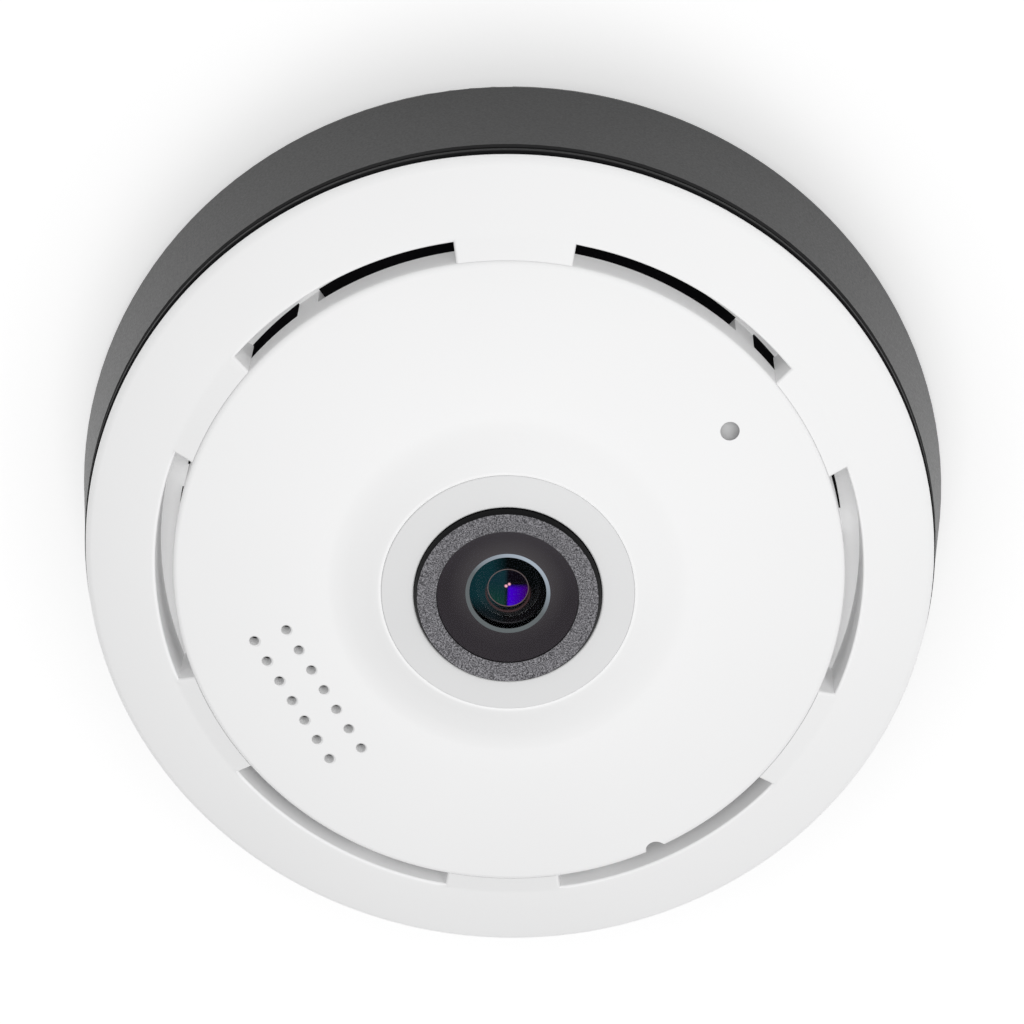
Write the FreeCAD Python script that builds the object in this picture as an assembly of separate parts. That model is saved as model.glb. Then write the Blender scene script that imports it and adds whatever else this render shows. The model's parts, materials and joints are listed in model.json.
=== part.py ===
import FreeCAD, Part
import math
import os

# Ceiling camera with one fixed fisheye lens, standing lens-up on its mounting bracket.
# The origin is the centre of the bracket's back face, +Z runs along the lens axis, away from
# the ceiling. The socket, card slot and button are in the side wall at -Y. Lengths are in mm.

# Overall body
body_radius = 56.0            # dark housing at its widest
body_widest_height = 3.3      # height of that widest line above the ceiling
body_edge_height = 0.6        # gap that the housing leaves to the ceiling
body_edge_inset = 2.8         # how far its rounded back edge curves in
body_edge_flat = 0.2
body_taper = 2.1              # how much narrower the dark housing is at its open front
mouth_height = 20.7
housing_wall = 1.9
floor_thick = 1.8
mouth_chamfer = 0.25

# Ceiling bracket and its twist lock
bracket_inset = 10.0          # its edge inside the housing's widest line
bracket_thick = 2.0
screw_head_room = 2.0         # space over the bracket for its ceiling screws' heads
ceiling_screw_circle = 50.0   # pitch circle diameter
ceiling_screw_count = 3
ceiling_screw_first_angle = 30.0
ceiling_screw_radius = 2.1
hook_count = 3
hook_inset = 11.0             # inner face of a hook's neck inside the bracket's edge
hook_neck = 1.8
hook_lip_reach = 2.4
hook_lip_thick = 1.3
hook_width = 16.0             # degrees
hook_first_angle = 90.0
twist_angle = 16.0            # degrees from locked to free
lock_clearance = 0.3
lock_clearance_angle = 1.5    # degrees
seat_ring_width = 2.0

# Dark reveal between the housing and the white rim
reveal_step = 0.13            # bead's face inside the housing's mouth
reveal_bead_depth = 0.97
reveal_soft = 0.2
reveal_low_gap = 0.7
reveal_bead = 1.2
reveal_high_gap = 0.5
seat_clearance = 0.05

# White rim
rim_step = 0.4                # rim's edge inside the housing's mouth
rim_edge_straight = 0.6
rim_edge_round = 0.95
rim_width = 9.2
rim_rise = 5.1                # from its lower edge to its inner edge
rim_crown = 0.28
rim_wall = 1.8
rim_inner_wall = 1.5
rim_lip = 1.2
rim_lip_depth = 2.2
rim_lip_root = 1.2
rim_post_radius = 2.5
rim_post_root = 1.6           # how far its screw posts end below the rim's inner edge
rim_inner_step = 0.7          # how much thicker the sloping wall is at its inner edge
rim_skirt_wall = 0.9
rim_skirt_step = 0.3          # lower edge of its inside, where the outer skirt ends
rim_drop_share = 1.08         # vertical measure of the sloping wall over its thickness
fit_clearance = 0.3

# Six arc slots around the dome, and the lands between them
slot_count = 6
slot_first_angle = 1.3
slot_half_angle = 20.3
slot_width = 2.3
land_rise = 1.0
land_gap = 0.15               # between a land's end and the dome

# White dome
dome_edge_rise = 1.65         # its edge above the rim's inner edge
dome_shoulder = 1.0
dome_wall = 1.7
mould_step = 0.4              # small steps where the dome's inside changes thickness
boss_foot_width = 5.7         # boss's foot, waist and top outside the bezel
boss_foot_drop = 1.95         # and below its face
boss_waist_width = 3.0
boss_waist_drop = 1.2
boss_top_width = 0.4
boss_low_bend = 0.12          # how far the boss's flank bows in, then out
boss_high_bend = 0.14
boss_edge_drop = 0.1          # the dome's edge below the bezel's face
crown_rise = 0.3
ledge_drop = 0.5              # floor of the arc slots below the housing's mouth
ledge_thick = 1.4
ledge_width = 5.2
window_height = 4.3           # openings at the foot of the dome's skirt
window_count = 9
window_rib_angle = 4.3
window_first_rib = 8.5
window_strip_thick = 0.3      # dark strip behind the windows
window_strip_lap = 0.4
window_strip_drop = 1.0       # its lower edge below the lamp board
notch_radius = 1.3
notch_angle = 299.0
notch_depth = 3.0

# Lens front
bezel_rise = 4.15             # pale insert's outer edge above the dome's edge
bezel_radius = 15.7
bezel_opening = 11.95
bezel_slope = 0.6             # its inner edge above its outer edge
bezel_thick = 2.8
bezel_seat_overlap = 0.5
bezel_chamfer = 0.3
trim_radius = 11.74
trim_opening = 8.8
trim_side_height = 0.75       # trim ring's upright side above the bezel's outer edge
trim_edge_height = 1.5        # its face's outer edge
trim_inner_height = 1.3       # and inner edge
trim_chamfer = 0.49           # width of the bevel between side and face
trim_wall = 1.35
trim_lip_thick = 1.45
trim_skirt_gap = 0.6          # its lower edge above the bezel's back
glass_margin = 0.5
glass_bulge = 1.45
glass_edge_drop = 0.15        # the glass's edge below the trim ring's inner edge
glass_edge_thick = 1.2
glass_bowl_radius = 4.65
glass_bowl_chamfer = 0.5
glass_bowl_depth = 1.6

# Lens barrel, holder and elements
lens_track = 17.45            # from the sensor board's face to the front glass's back
barrel_thread_radius = 6.0
barrel_wall = 1.4
holder_bore_clearance = 0.05
holder_wall = 1.9
holder_tower_height = 5.6
barrel_shoulder_gap = 0.5
barrel_seat = 0.9
barrel_foot_gap = 0.8
element_land = 0.9            # flat rim outside the curved faces
element_gap = 0.2
rear_element_thick = 2.0
third_element_thick = 1.8
second_element_thick = 2.6
second_element_radius = 7.0
second_element_bowl = 1.43
second_element_land = 0.4
second_element_curve = 2.7    # radius of its curved front
element_bulge = 0.5
stop_thick = 0.4
stop_opening = 1.2
spacer_wall = 0.9
spacer_lip = 0.15             # thin inner edge of its cone
spacer_tall = 1.45

# Boards
standoff_height = 2.7
standoff_radius = 2.6
standoff_inset = 3.0          # inside the main board's edge
standoff_first_angle = 30.0
standoff_count = 3
board_thick = 1.6
board_gap = 10.4              # main board's edge inside the housing's mouth
port_board_gap = 1.9          # its tongue's edge from the wall behind the ports
port_board_first_angle = 240.0
port_board_last_angle = 305.0
small_screw_radius = 1.0
small_screw_length = 4.0
small_head_radius = 1.9
small_head_height = 1.3
screw_clearance = 0.1
screw_end_room = 0.3          # depth of a screw hole beyond the screw's tip
spacer_radius = 2.2
spacer_inset = 0.4
sensor_board_wide = 34.0
sensor_board_corner = 1.5
sensor_board_deep = 38.0
sensor_board_offset = 2.5
sensor_board_thick = 1.2
sensor_wide = 11.0
sensor_thick = 1.3
sensor_lid_thick = 0.5
sensor_lid_inset = 0.6

# Filter switch over the sensor
filter_travel = 6.4
filter_window = 5.8
filter_glass_thick = 0.3
filter_glass_drop = 0.1
filter_ledge = 0.4
slider_thick = 0.8
slider_half_depth = 4.2
slider_margin = 1.1
slider_gap = 0.2
rail_thick = 0.5
rail_overlap = 0.6
switch_wall = 1.2
switch_room = 0.8
switch_end_room = 1.6         # beyond the slider at -Y
coil_end_room = 2.0           # beyond the rotor and coil at +Y
back_rail_wide = 1.6
light_path_play = 0.4
crank_length = 5.0
crank_y = 10.2
crank_thick = 0.6
crank_pin_radius = 0.45
crank_pin_play = 0.3
fork_prong = 0.8
fork_root = 0.6
fork_tip_gap = 0.3
crank_arm_edge = 0.35
rotor_play = 0.08
rotor_radius = 2.2
rotor_axle_radius = 0.6
coil_radius = 1.7
coil_length = 7.0
coil_core_share = 0.45
coil_core_end = 1.2
coil_foot = 0.8
coil_lift = 0.2
coil_gap = 0.5

# Housing screws
post_radius = 2.9
post_inset = 5.1              # inside the housing's mouth
post_first_angle = 45.0
post_count = 4
post_web = 1.2
housing_screw_radius = 1.3
housing_head_radius = 2.2
housing_head_height = 1.6
housing_screw_bite = 5.0

# Infrared lamp board
lamp_board_gap = 0.4          # from the dome's skirt
lamp_board_width = 5.1
lamp_board_drop = 2.2         # its face below the slots' floor
lamp_board_thick = 1.0
lamp_inset = 1.9              # lamps inside the lamp board's edge
lamp_wide = 3.5
lamp_deep = 2.8
lamp_tall = 1.9
lamp_boss_inset = 2.9
lamp_boss_radius = 2.4
lamp_boss_angles = (88.5, 168.5, 288.5)
lamp_boss_root = 0.4
light_sensor_angle = 134.0
light_sensor_radius = 1.5
light_sensor_tall = 3.2

# Speaker and its sound holes
speaker_inset = 12.44         # its centre inside the dome's edge
speaker_place_angle = 213.5
speaker_angle = -58.5         # degrees, along the rows of holes
speaker_length = 30.0
speaker_width = 14.0
speaker_tall = 4.0
speaker_wall = 1.0
speaker_drop = 2.25           # its seat below the dome's edge
speaker_collar = 1.2
speaker_collar_depth = 2.6
gasket_thick = 0.5
gasket_width = 1.4
magnet_radius = 5.0
magnet_tall = 2.0
cone_thick = 0.4
cone_dip = 1.2
cone_edge = 1.3
cone_depth = 0.4              # its edge below the basket's mouth
cone_clearance = 0.05
sound_hole_radius = 0.62
sound_hole_count = 7
sound_hole_pitch = 3.12
sound_row_gap = 4.42          # between the two rows
sound_row_stagger = 0.23

# Microphone
mic_inset = 7.95              # its centre inside the dome's edge
mic_angle = 39.44
mic_dimple_radius = 1.2
mic_floor = 1.2               # thickness under the dimple
mic_hole_radius = 0.25
mic_hole_offset = 0.85        # towards +Y from the dimple's centre
mic_radius = 3.0
mic_tall = 2.2
mic_boot_wall = 0.9
mic_boot_floor = 0.5
mic_boot_hole = 1.3
mic_drop = 1.85               # its seat below the dome's edge
mic_collar = 1.0
mic_collar_depth = 1.8

# Socket, card slot, button and status light in the side wall
usb_angle = 270.0
usb_wide = 7.5
usb_deep = 5.6
usb_tall = 2.7
usb_skin = 0.3
usb_front = 0.9               # the socket's mouth ahead of the board's edge
usb_tongue_wide = 3.6
usb_tongue_thick = 0.5
usb_tongue_inset = 0.8
usb_back_wall = 0.9
usb_cut_wide = 11.4
usb_cut_tall = 7.6
card_angle = 291.0
card_socket_wide = 14.2
card_socket_deep = 14.5
card_socket_tall = 1.7
card_front = 0.5              # the card socket's mouth ahead of the board's edge
card_slot_wide = 11.4
card_slot_tall = 1.0
card_back_wall = 1.0
card_cut_wide = 12.6
card_cut_tall = 2.4
card_scoop_radius = 7.0
card_scoop_depth = 0.8
button_angle = 252.0
button_radius = 1.5
button_play = 0.25
button_recess = 0.2
button_flange = 0.8
button_flange_thick = 0.7
button_travel = 0.4
button_gap = 0.3              # between its flange and the wall
switch_wide = 4.6
switch_deep = 3.6
switch_tall = 3.0
plunger_radius = 0.8
plunger_reach = 1.0
plunger_depth = 1.4
plunger_play = 0.1
light_angle = 243.5
light_radius = 0.9
light_led_wide = 1.6
light_led_tall = 1.2
light_led_inset = 1.2
light_pipe_gap = 0.1

# Small parts on the main board
processor_x = 26.0
processor_y = -8.0
chip_wide = 14.0
chip_thick = 1.4
memory_wide = 8.0
memory_deep = 6.0
memory_x = 25.0
memory_rows = (5.0, 13.0)
inductor_wide = 5.0
inductor_tall = 3.0
inductor_y = -32.0
inductor_columns = (-20.0, -12.5)
capacitor_radius = 2.6
capacitor_tall = 3.4
capacitor_places = ((-33.0, 2.0), (-27.0, -24.0), (12.0, 33.0))
header_wide = 5.0
header_deep = 3.6
header_tall = 3.0
speaker_header_x = -27.0
speaker_header_y = -7.0
mic_header_x = 20.8
mic_header_y = 18.5
lamp_header_angle = 101.0
wifi_x = -23.5
wifi_y = 9.0
wifi_wide = 13.0
wifi_deep = 12.0
wifi_board_thick = 0.8
wifi_shield_inset = 0.8
wifi_antenna_end = 3.0        # length of the radio board left outside the can
wifi_shield_tall = 1.8
wifi_skin = 0.2
antenna_first_angle = 160.0
antenna_last_angle = 200.0
antenna_gap = 0.3             # below the rim's lip
antenna_tall = 6.7
antenna_thick = 0.4
antenna_glue = 0.1
coax_radius = 0.55
coax_angle = 4.0              # degrees from the strip's end
coax_rise = 2.5               # above the strip's lower edge
coax_run = 6.0                # straight run along a radius
coax_up = 2.4                 # first run up from the radio board
coax_over = 5.0               # and sideways
lead_radius = 0.6
lead_drop = 3.0               # straight run at each end of a lead
lead_edge = 3.2               # speaker's lead from the centre of its round end
mic_lead_side = (1.6, 1.3)    # microphone's lead from its centre
lamp_lead_drop = 1.2
lamp_lead_shift = (0.6, 0.3)
link_wide = 14.0
link_deep = 4.2
link_y = -12.5
link_step = 1.0

# Radii that follow from the body's size
mouth_radius = body_radius - body_taper
bracket_radius = body_radius - bracket_inset
hook_radius = bracket_radius - hook_inset
reveal_radius = mouth_radius - reveal_step
reveal_root_radius = reveal_radius - reveal_bead_depth
rim_radius = mouth_radius - rim_step
rim_inner_radius = rim_radius - rim_width
dome_radius = rim_inner_radius - slot_width
ledge_radius = dome_radius + ledge_width
post_circle = mouth_radius - post_inset
board_radius = mouth_radius - board_gap
standoff_circle = board_radius - standoff_inset
lamp_board_outer = dome_radius - dome_wall - lamp_board_gap
lamp_board_inner = lamp_board_outer - lamp_board_width
lamp_circle = lamp_board_outer - lamp_inset
lamp_boss_circle = lamp_board_outer - lamp_boss_inset
boss_foot_radius = bezel_radius + boss_foot_width
boss_waist_radius = bezel_radius + boss_waist_width
boss_top_radius = bezel_radius + boss_top_width

# Heights of the covers
rim_low = mouth_height + reveal_low_gap + reveal_bead + reveal_high_gap
rim_inner_height = rim_low + rim_rise
dome_edge_height = rim_inner_height + dome_edge_rise
bezel_height = dome_edge_height + bezel_rise
boss_foot_height = bezel_height - boss_foot_drop
boss_waist_height = bezel_height - boss_waist_drop
ledge_height = mouth_height - ledge_drop
ledge_low = ledge_height - ledge_thick
lamp_board_top = ledge_height - lamp_board_drop
lamp_board_low = lamp_board_top - lamp_board_thick
speaker_seat_height = dome_edge_height - speaker_drop
mic_seat_height = dome_edge_height - mic_drop
mic_dimple_height = mic_seat_height + mic_floor

# Heights inside, from the floor up
floor_low = bracket_thick + screw_head_room
floor_top = floor_low + floor_thick
board_low = floor_top + standoff_height
board_top = board_low + board_thick
bezel_low = bezel_height - bezel_thick
trim_face = bezel_height + trim_edge_height
trim_inner_face = bezel_height + trim_inner_height
glass_edge_top = trim_inner_face - trim_lip_thick
glass_edge_low = glass_edge_top - glass_edge_thick
sensor_board_top = glass_edge_low - lens_track
sensor_board_low = sensor_board_top - sensor_board_thick
spacer_height = sensor_board_low - board_top
sensor_top = sensor_board_top + sensor_thick
rail_low = sensor_top + slider_gap
slider_low = rail_low + rail_thick + slider_gap
slider_top = slider_low + slider_thick
crank_low = slider_top + slider_gap
switch_roof = crank_low + crank_thick + slider_gap
tower_low = switch_roof + switch_wall
tower_top = tower_low + holder_tower_height
barrel_radius = trim_radius - trim_wall
port_height = board_top + usb_tall / 2
antenna_high = mouth_height - rim_lip_depth - antenna_gap
antenna_low = antenna_high - antenna_tall
wall_reach = housing_wall + 3     # how far the tools for openings in the wall go beyond its inner face

UP = FreeCAD.Vector(0, 0, 1)
CENTRE = FreeCAD.Vector(0, 0, 0)


def disc(radius, low, high, x=0.0, y=0.0):
    """Upright cylinder between two heights."""
    return Part.makeCylinder(radius, high - low, FreeCAD.Vector(x, y, low))


def ring(inner, outer, low, high, x=0.0, y=0.0):
    """Upright tube between two heights."""
    return disc(outer, low, high, x, y).cut(disc(inner, low, high, x, y))


def block(x, y, low, wide, deep, tall):
    """Box centred on x and y that stands on the height low."""
    corner = FreeCAD.Vector(x - wide / 2, y - deep / 2, low)
    return Part.makeBox(wide, deep, tall, corner)


def turned(shape, degrees):
    """Copy of a shape turned about the lens axis."""
    copy = shape.copy()
    copy.rotate(CENTRE, UP, degrees)
    return copy


def polar(radius, degrees):
    """X and Y of a point given by its radius and angle about the lens axis."""
    angle = math.radians(degrees)
    return radius * math.cos(angle), radius * math.sin(angle)


def around(count, first):
    """Equally spaced angles in degrees."""
    return [first + 360.0 / count * i for i in range(count)]


def speaker_place():
    """Plan position of the speaker's centre."""
    return polar(dome_radius - speaker_inset, speaker_place_angle)


def mic_place():
    """Plan position of the microphone's centre."""
    return polar(dome_radius - mic_inset, mic_angle)


def post_points():
    """Plan positions of the screw posts."""
    return [polar(post_circle, angle) for angle in around(post_count, post_first_angle)]


def standoff_points():
    """Plan positions of the standoffs under the main board."""
    return [polar(standoff_circle, angle) for angle in around(standoff_count, standoff_first_angle)]


def lamp_boss_points():
    """Plan positions of the bosses that hold the lamp board."""
    return [polar(lamp_boss_circle, angle) for angle in lamp_boss_angles]


def lathe(start, *path, sweep=360.0):
    """Solid turned about the lens axis from an outline of (radius, height) points.

    A step of one point is a straight line, a step of two points is an arc through the first.
    """
    here = FreeCAD.Vector(start[0], 0, start[1])
    home = here
    edges = []
    for step in list(path) + [start]:
        if isinstance(step[0], tuple):
            middle, end = [FreeCAD.Vector(r, 0, z) for r, z in step]
            edges.append(Part.Arc(here, middle, end).toShape())
        else:
            end = FreeCAD.Vector(step[0], 0, step[1])
            if end.distanceToPoint(here) < 1e-6:
                continue
            edges.append(Part.LineSegment(here, end).toShape())
        here = end
    if here.distanceToPoint(home) > 1e-6:
        raise ValueError("outline is open")
    return Part.Face(Part.Wire(edges)).revolve(CENTRE, UP, sweep)


def cap_middle(edge_radius, edge_height, apex_height):
    """Point halfway along an arc from an edge to the axis, on a sphere centred on the axis."""
    rise = apex_height - edge_height
    sphere = (edge_radius ** 2 + rise ** 2) / (2 * abs(rise))
    centre = apex_height - math.copysign(sphere, rise)
    half = math.asin(edge_radius / sphere) / 2
    return sphere * math.sin(half), centre + math.copysign(sphere * math.cos(half), rise)


def sector(inner, outer, low, high, start, end):
    """Part of a ring between two angles in degrees."""
    piece = lathe((inner, low), (outer, low), (outer, high), (inner, high), sweep=end - start)
    return turned(piece, start)


def racetrack(length, width, low, high):
    """Upright oblong with round ends, centred on the speaker and along its rows of holes."""
    half = (length - width) / 2
    shape = block(0, 0, low, 2 * half, width, high - low)
    ends = [disc(width / 2, low, high, side * half) for side in (-1, 1)]
    shape = shape.fuse(ends).removeSplitter()
    shape.rotate(CENTRE, UP, speaker_angle)
    shape.translate(FreeCAD.Vector(*speaker_place(), 0))
    return shape


def radial_bar(radius, start, end, height, degrees):
    """Cylinder that lies along a radius, between two distances from the lens axis."""
    bar = Part.makeCylinder(radius, end - start, FreeCAD.Vector(start, 0, height), FreeCAD.Vector(1, 0, 0))
    return turned(bar, degrees)


def radial_block(start, end, wide, low, tall, degrees):
    """Box that lies along a radius, between two distances from the lens axis."""
    box = Part.makeBox(end - start, wide, tall, FreeCAD.Vector(start, -wide / 2, low))
    return turned(box, degrees)


def lead(radius, points, bend=0.45):
    """Round lead through points: straight runs joined by tangent arcs as large as they fit."""
    corners = [FreeCAD.Vector(*p) for p in points]
    edges = []
    here = corners[0]
    for before, corner, after in zip(corners, corners[1:], corners[2:]):
        back = before - corner
        ahead = after - corner
        trim = bend * min(back.Length, ahead.Length)
        back.normalize()
        ahead.normalize()
        half_turn = (math.pi - back.getAngle(ahead)) / 2
        arc_radius = trim / math.tan(half_turn)
        enter = corner + back * trim
        leave = corner + ahead * trim
        middle_line = back + ahead
        middle_line.normalize()
        middle = corner + middle_line * (arc_radius / math.cos(half_turn) - arc_radius)
        edges.append(Part.LineSegment(here, enter).toShape())
        edges.append(Part.Arc(enter, middle, leave).toShape())
        here = leave
    edges.append(Part.LineSegment(here, corners[-1]).toShape())
    spine = Part.Wire(edges)
    start_line = corners[1] - corners[0]
    profile = Part.Wire([Part.Circle(corners[0], start_line, radius).toShape()])
    return Part.Wire(spine).makePipeShell([profile], True, False)


def housing_radius(height):
    """Outer radius of the tapering dark wall at a height."""
    share = (height - body_widest_height) / (mouth_height - body_widest_height)
    return body_radius + (mouth_radius - body_radius) * share


def inner_radius(height):
    """Inner radius of the tapering dark wall at a height."""
    return housing_radius(height) - housing_wall


def port_board_edge():
    """Radius of the main board's tongue, which ends just short of the wall."""
    return inner_radius(port_height) - port_board_gap


# Ceiling bracket


def hook(angle):
    """One hook of the twist lock: a neck with a lip that faces outwards."""
    start = angle - hook_width / 2
    end = angle + hook_width / 2
    lip_low = floor_top + lock_clearance
    lip_high = lip_low + hook_lip_thick
    neck_outer = hook_radius + hook_neck
    neck = sector(hook_radius, neck_outer, bracket_thick / 2, lip_high, start, end)
    lip = sector(hook_radius, neck_outer + hook_lip_reach, lip_low, lip_high, start, end)
    return neck.fuse(lip)


def ceiling_bracket():
    """Flat plate with screw holes, a raised seat and three hooks."""
    edge = bracket_thick / 3
    plate = lathe((0, 0), (bracket_radius - edge, 0), (bracket_radius, edge), (bracket_radius, bracket_thick),
                  (0, bracket_thick))
    seat_outer = bracket_radius - lock_clearance
    seat = ring(seat_outer - seat_ring_width, seat_outer, bracket_thick / 2, floor_low - lock_clearance)
    hooks = [hook(angle) for angle in around(hook_count, hook_first_angle)]
    plate = plate.fuse([seat] + hooks)
    for angle in around(ceiling_screw_count, ceiling_screw_first_angle):
        x, y = polar(ceiling_screw_circle / 2, angle)
        plate = plate.cut(disc(ceiling_screw_radius, -1, bracket_thick + 1, x, y))
    return plate.removeSplitter()


# Rear housing


def lock_slot(angle):
    """Opening in the housing's floor for one hook: a wide entry beside a narrow locking stretch."""
    inner = hook_radius - 2 * lock_clearance
    narrow = hook_radius + hook_neck + 2 * lock_clearance
    wide = hook_radius + hook_neck + hook_lip_reach + 2 * lock_clearance
    half = hook_width / 2 + lock_clearance_angle
    free = angle - twist_angle
    channel = sector(inner, narrow, floor_low - 1, floor_top + 1, free - half, angle + half)
    entry = sector(inner, wide, floor_low - 1, floor_top + 1, free - half, free + half)
    return channel.fuse(entry)


def screw_seat():
    """Height of the shoulder that a housing screw's head pulls on."""
    return floor_top + housing_head_height


def rear_housing():
    """Dark cup with a floor, lock slots, posts, standoffs and the openings for the ports."""
    edge_radius = body_radius - body_edge_inset
    slope = (body_radius - edge_radius) * (1 - math.sqrt(0.5))
    rise = (body_widest_height - body_edge_height) * (1 - math.sqrt(0.5))
    skirt_inner = edge_radius - body_edge_flat
    shell = lathe(
        (0, floor_low), (skirt_inner, floor_low), (skirt_inner, body_edge_height),
        (edge_radius, body_edge_height),
        ((body_radius - slope, body_edge_height + rise), (body_radius, body_widest_height)),
        (housing_radius(mouth_height - mouth_chamfer), mouth_height - mouth_chamfer),
        (mouth_radius - mouth_chamfer, mouth_height), (inner_radius(mouth_height), mouth_height),
        (inner_radius(floor_top), floor_top), (0, floor_top))
    middle = (floor_low + floor_top) / 2
    web_high = ledge_low - 1
    web_end = inner_radius(ledge_low) + housing_wall / 2
    webs = [radial_block(post_circle, web_end, post_web, middle, web_high - middle, angle)
            for angle in around(post_count, post_first_angle)]
    posts = [disc(post_radius, floor_low, ledge_low, x, y) for x, y in post_points()]
    standoffs = [disc(standoff_radius, middle, board_low, x, y) for x, y in standoff_points()]
    shell = shell.fuse(webs + posts + standoffs)
    cuts = [lock_slot(angle) for angle in around(hook_count, hook_first_angle)]
    for x, y in post_points():
        cuts.append(disc(housing_head_radius + screw_clearance, floor_low - 1, screw_seat(), x, y))
        cuts.append(disc(housing_screw_radius + screw_clearance, floor_low, ledge_low + 1, x, y))
    for x, y in standoff_points():
        low = board_top - small_screw_length - screw_end_room
        cuts.append(disc(small_screw_radius + seat_clearance, low, board_low + 1, x, y))
    cuts += [usb_cut(), card_cut(), card_scoop()]
    cuts.append(wall_bar(button_radius + button_play, button_angle))
    cuts.append(wall_bar(light_radius + seat_clearance, light_angle))
    return shell.cut(cuts).removeSplitter()


def usb_cut():
    """Opening in the wall for the power plug."""
    middle = inner_radius(port_height)
    low = port_height - usb_cut_tall / 2
    return radial_block(middle - 1, middle + wall_reach, usb_cut_wide, low, usb_cut_tall, usb_angle)


def card_height():
    """Height of the card slot's centre line."""
    return board_top + card_socket_tall / 2


def card_cut():
    """Slit in the wall for the memory card."""
    middle = inner_radius(card_height())
    low = card_height() - card_cut_tall / 2
    return radial_block(middle - 1, middle + wall_reach, card_cut_wide, low, card_cut_tall, card_angle)


def card_scoop():
    """Shallow fingertip scoop around the slit's middle."""
    outside = housing_radius(card_height())
    wide = card_cut_wide / 2
    start = FreeCAD.Vector(outside + card_scoop_radius - card_scoop_depth, -wide / 2, card_height())
    bar = Part.makeCylinder(card_scoop_radius, wide, start, FreeCAD.Vector(0, 1, 0))
    return turned(bar, card_angle)


def wall_bar(radius, degrees):
    """Round tool through the wall at the ports' height."""
    middle = inner_radius(port_height)
    return radial_bar(radius, middle - 1, middle + wall_reach, port_height, degrees)


# White covers


def reveal_ring():
    """Black ring whose bead shows in the groove between the dark wall and the white rim."""
    inner = inner_radius(mouth_height) - fit_clearance + seat_clearance
    low = mouth_height + seat_clearance
    high = rim_low - seat_clearance
    bead_low = mouth_height + reveal_low_gap
    bead_high = bead_low + reveal_bead
    soft = reveal_soft
    return lathe((inner, low), (reveal_root_radius, low), (reveal_root_radius, bead_low),
                 (reveal_radius - soft, bead_low), (reveal_radius, bead_low + soft),
                 (reveal_radius, bead_high - soft), (reveal_radius - soft, bead_high),
                 (reveal_root_radius, bead_high), (reveal_root_radius, high), (inner, high))


def rim_section():
    """Named points of the white rim's outline."""
    edge_top = rim_low + rim_edge_straight
    turn = rim_edge_round
    shoulder = (rim_radius - turn, edge_top + turn)
    bend = (rim_radius - turn * (1 - math.sqrt(0.5)), edge_top + turn * math.sqrt(0.5))
    inner = (rim_inner_radius, rim_inner_height)
    middle = ((shoulder[0] + inner[0]) / 2, (shoulder[1] + inner[1]) / 2 + rim_crown)
    return edge_top, bend, shoulder, middle, inner


def land(start, end):
    """Bridge of the rim's surface to the dome between two slots, with side walls down to the ledge."""
    inner = dome_radius + land_gap
    outer = rim_inner_radius + rim_inner_wall / 2
    slope = land_rise / (rim_inner_radius - dome_radius)
    outer_top = rim_inner_height - (outer - rim_inner_radius) * slope
    foot = ledge_height + seat_clearance
    piece = lathe((inner, foot), (outer, foot), (outer, outer_top), (rim_inner_radius, rim_inner_height),
                  (inner, rim_inner_height + land_rise), sweep=end - start)
    return turned(piece, start)


def rim_cover():
    """White ring with a sloping face, an inner wall, lands between the slots, a lip and screw posts."""
    edge_top, bend, shoulder, middle, inner = rim_section()
    foot = ledge_height + seat_clearance
    wall_outer = rim_inner_radius + rim_inner_wall
    drop = rim_wall * rim_drop_share
    shell = lathe(
        (rim_radius, rim_low), (rim_radius, edge_top), (bend, shoulder), (middle, inner),
        (rim_inner_radius, foot), (wall_outer, foot), (wall_outer, rim_inner_height - drop - rim_inner_step),
        (middle[0], middle[1] - drop), (shoulder[0] - rim_skirt_wall, rim_low + rim_skirt_step),
        (shoulder[0] - rim_skirt_wall, rim_low))
    lip_outer = inner_radius(mouth_height) - fit_clearance
    lip_low = mouth_height - rim_lip_depth
    lip = ring(lip_outer - rim_lip, lip_outer, lip_low, rim_low + rim_lip_root)
    for x, y in post_points():
        lip = lip.cut(disc(post_radius + fit_clearance, lip_low - 1, foot, x, y))
    pieces = [lip]
    for x, y in post_points():
        pieces.append(disc(rim_post_radius, ledge_height, rim_inner_height - drop - rim_post_root, x, y))
    pitch = 360.0 / slot_count
    for angle in around(slot_count, slot_first_angle + pitch / 2):
        half = pitch / 2 - slot_half_angle
        pieces.append(land(angle - half, angle + half))
    shell = shell.fuse(pieces)
    hole_high = ledge_height + housing_screw_bite + screw_end_room
    holes = [disc(housing_screw_radius + seat_clearance, ledge_height - 1, hole_high, x, y)
             for x, y in post_points()]
    return shell.cut(holes).removeSplitter()


def sound_holes():
    """Two rows of round sound holes over the speaker."""
    holes = []
    low = speaker_seat_height - 1
    for row in (-1, 1):
        across = row * sound_row_gap / 2
        for i in range(sound_hole_count):
            along = (i - (sound_hole_count - 1) / 2) * sound_hole_pitch + row * sound_row_stagger
            hole = disc(sound_hole_radius, low, bezel_height, along, across)
            hole.rotate(CENTRE, UP, speaker_angle)
            hole.translate(FreeCAD.Vector(*speaker_place(), 0))
            holes.append(hole)
    return holes


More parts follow.
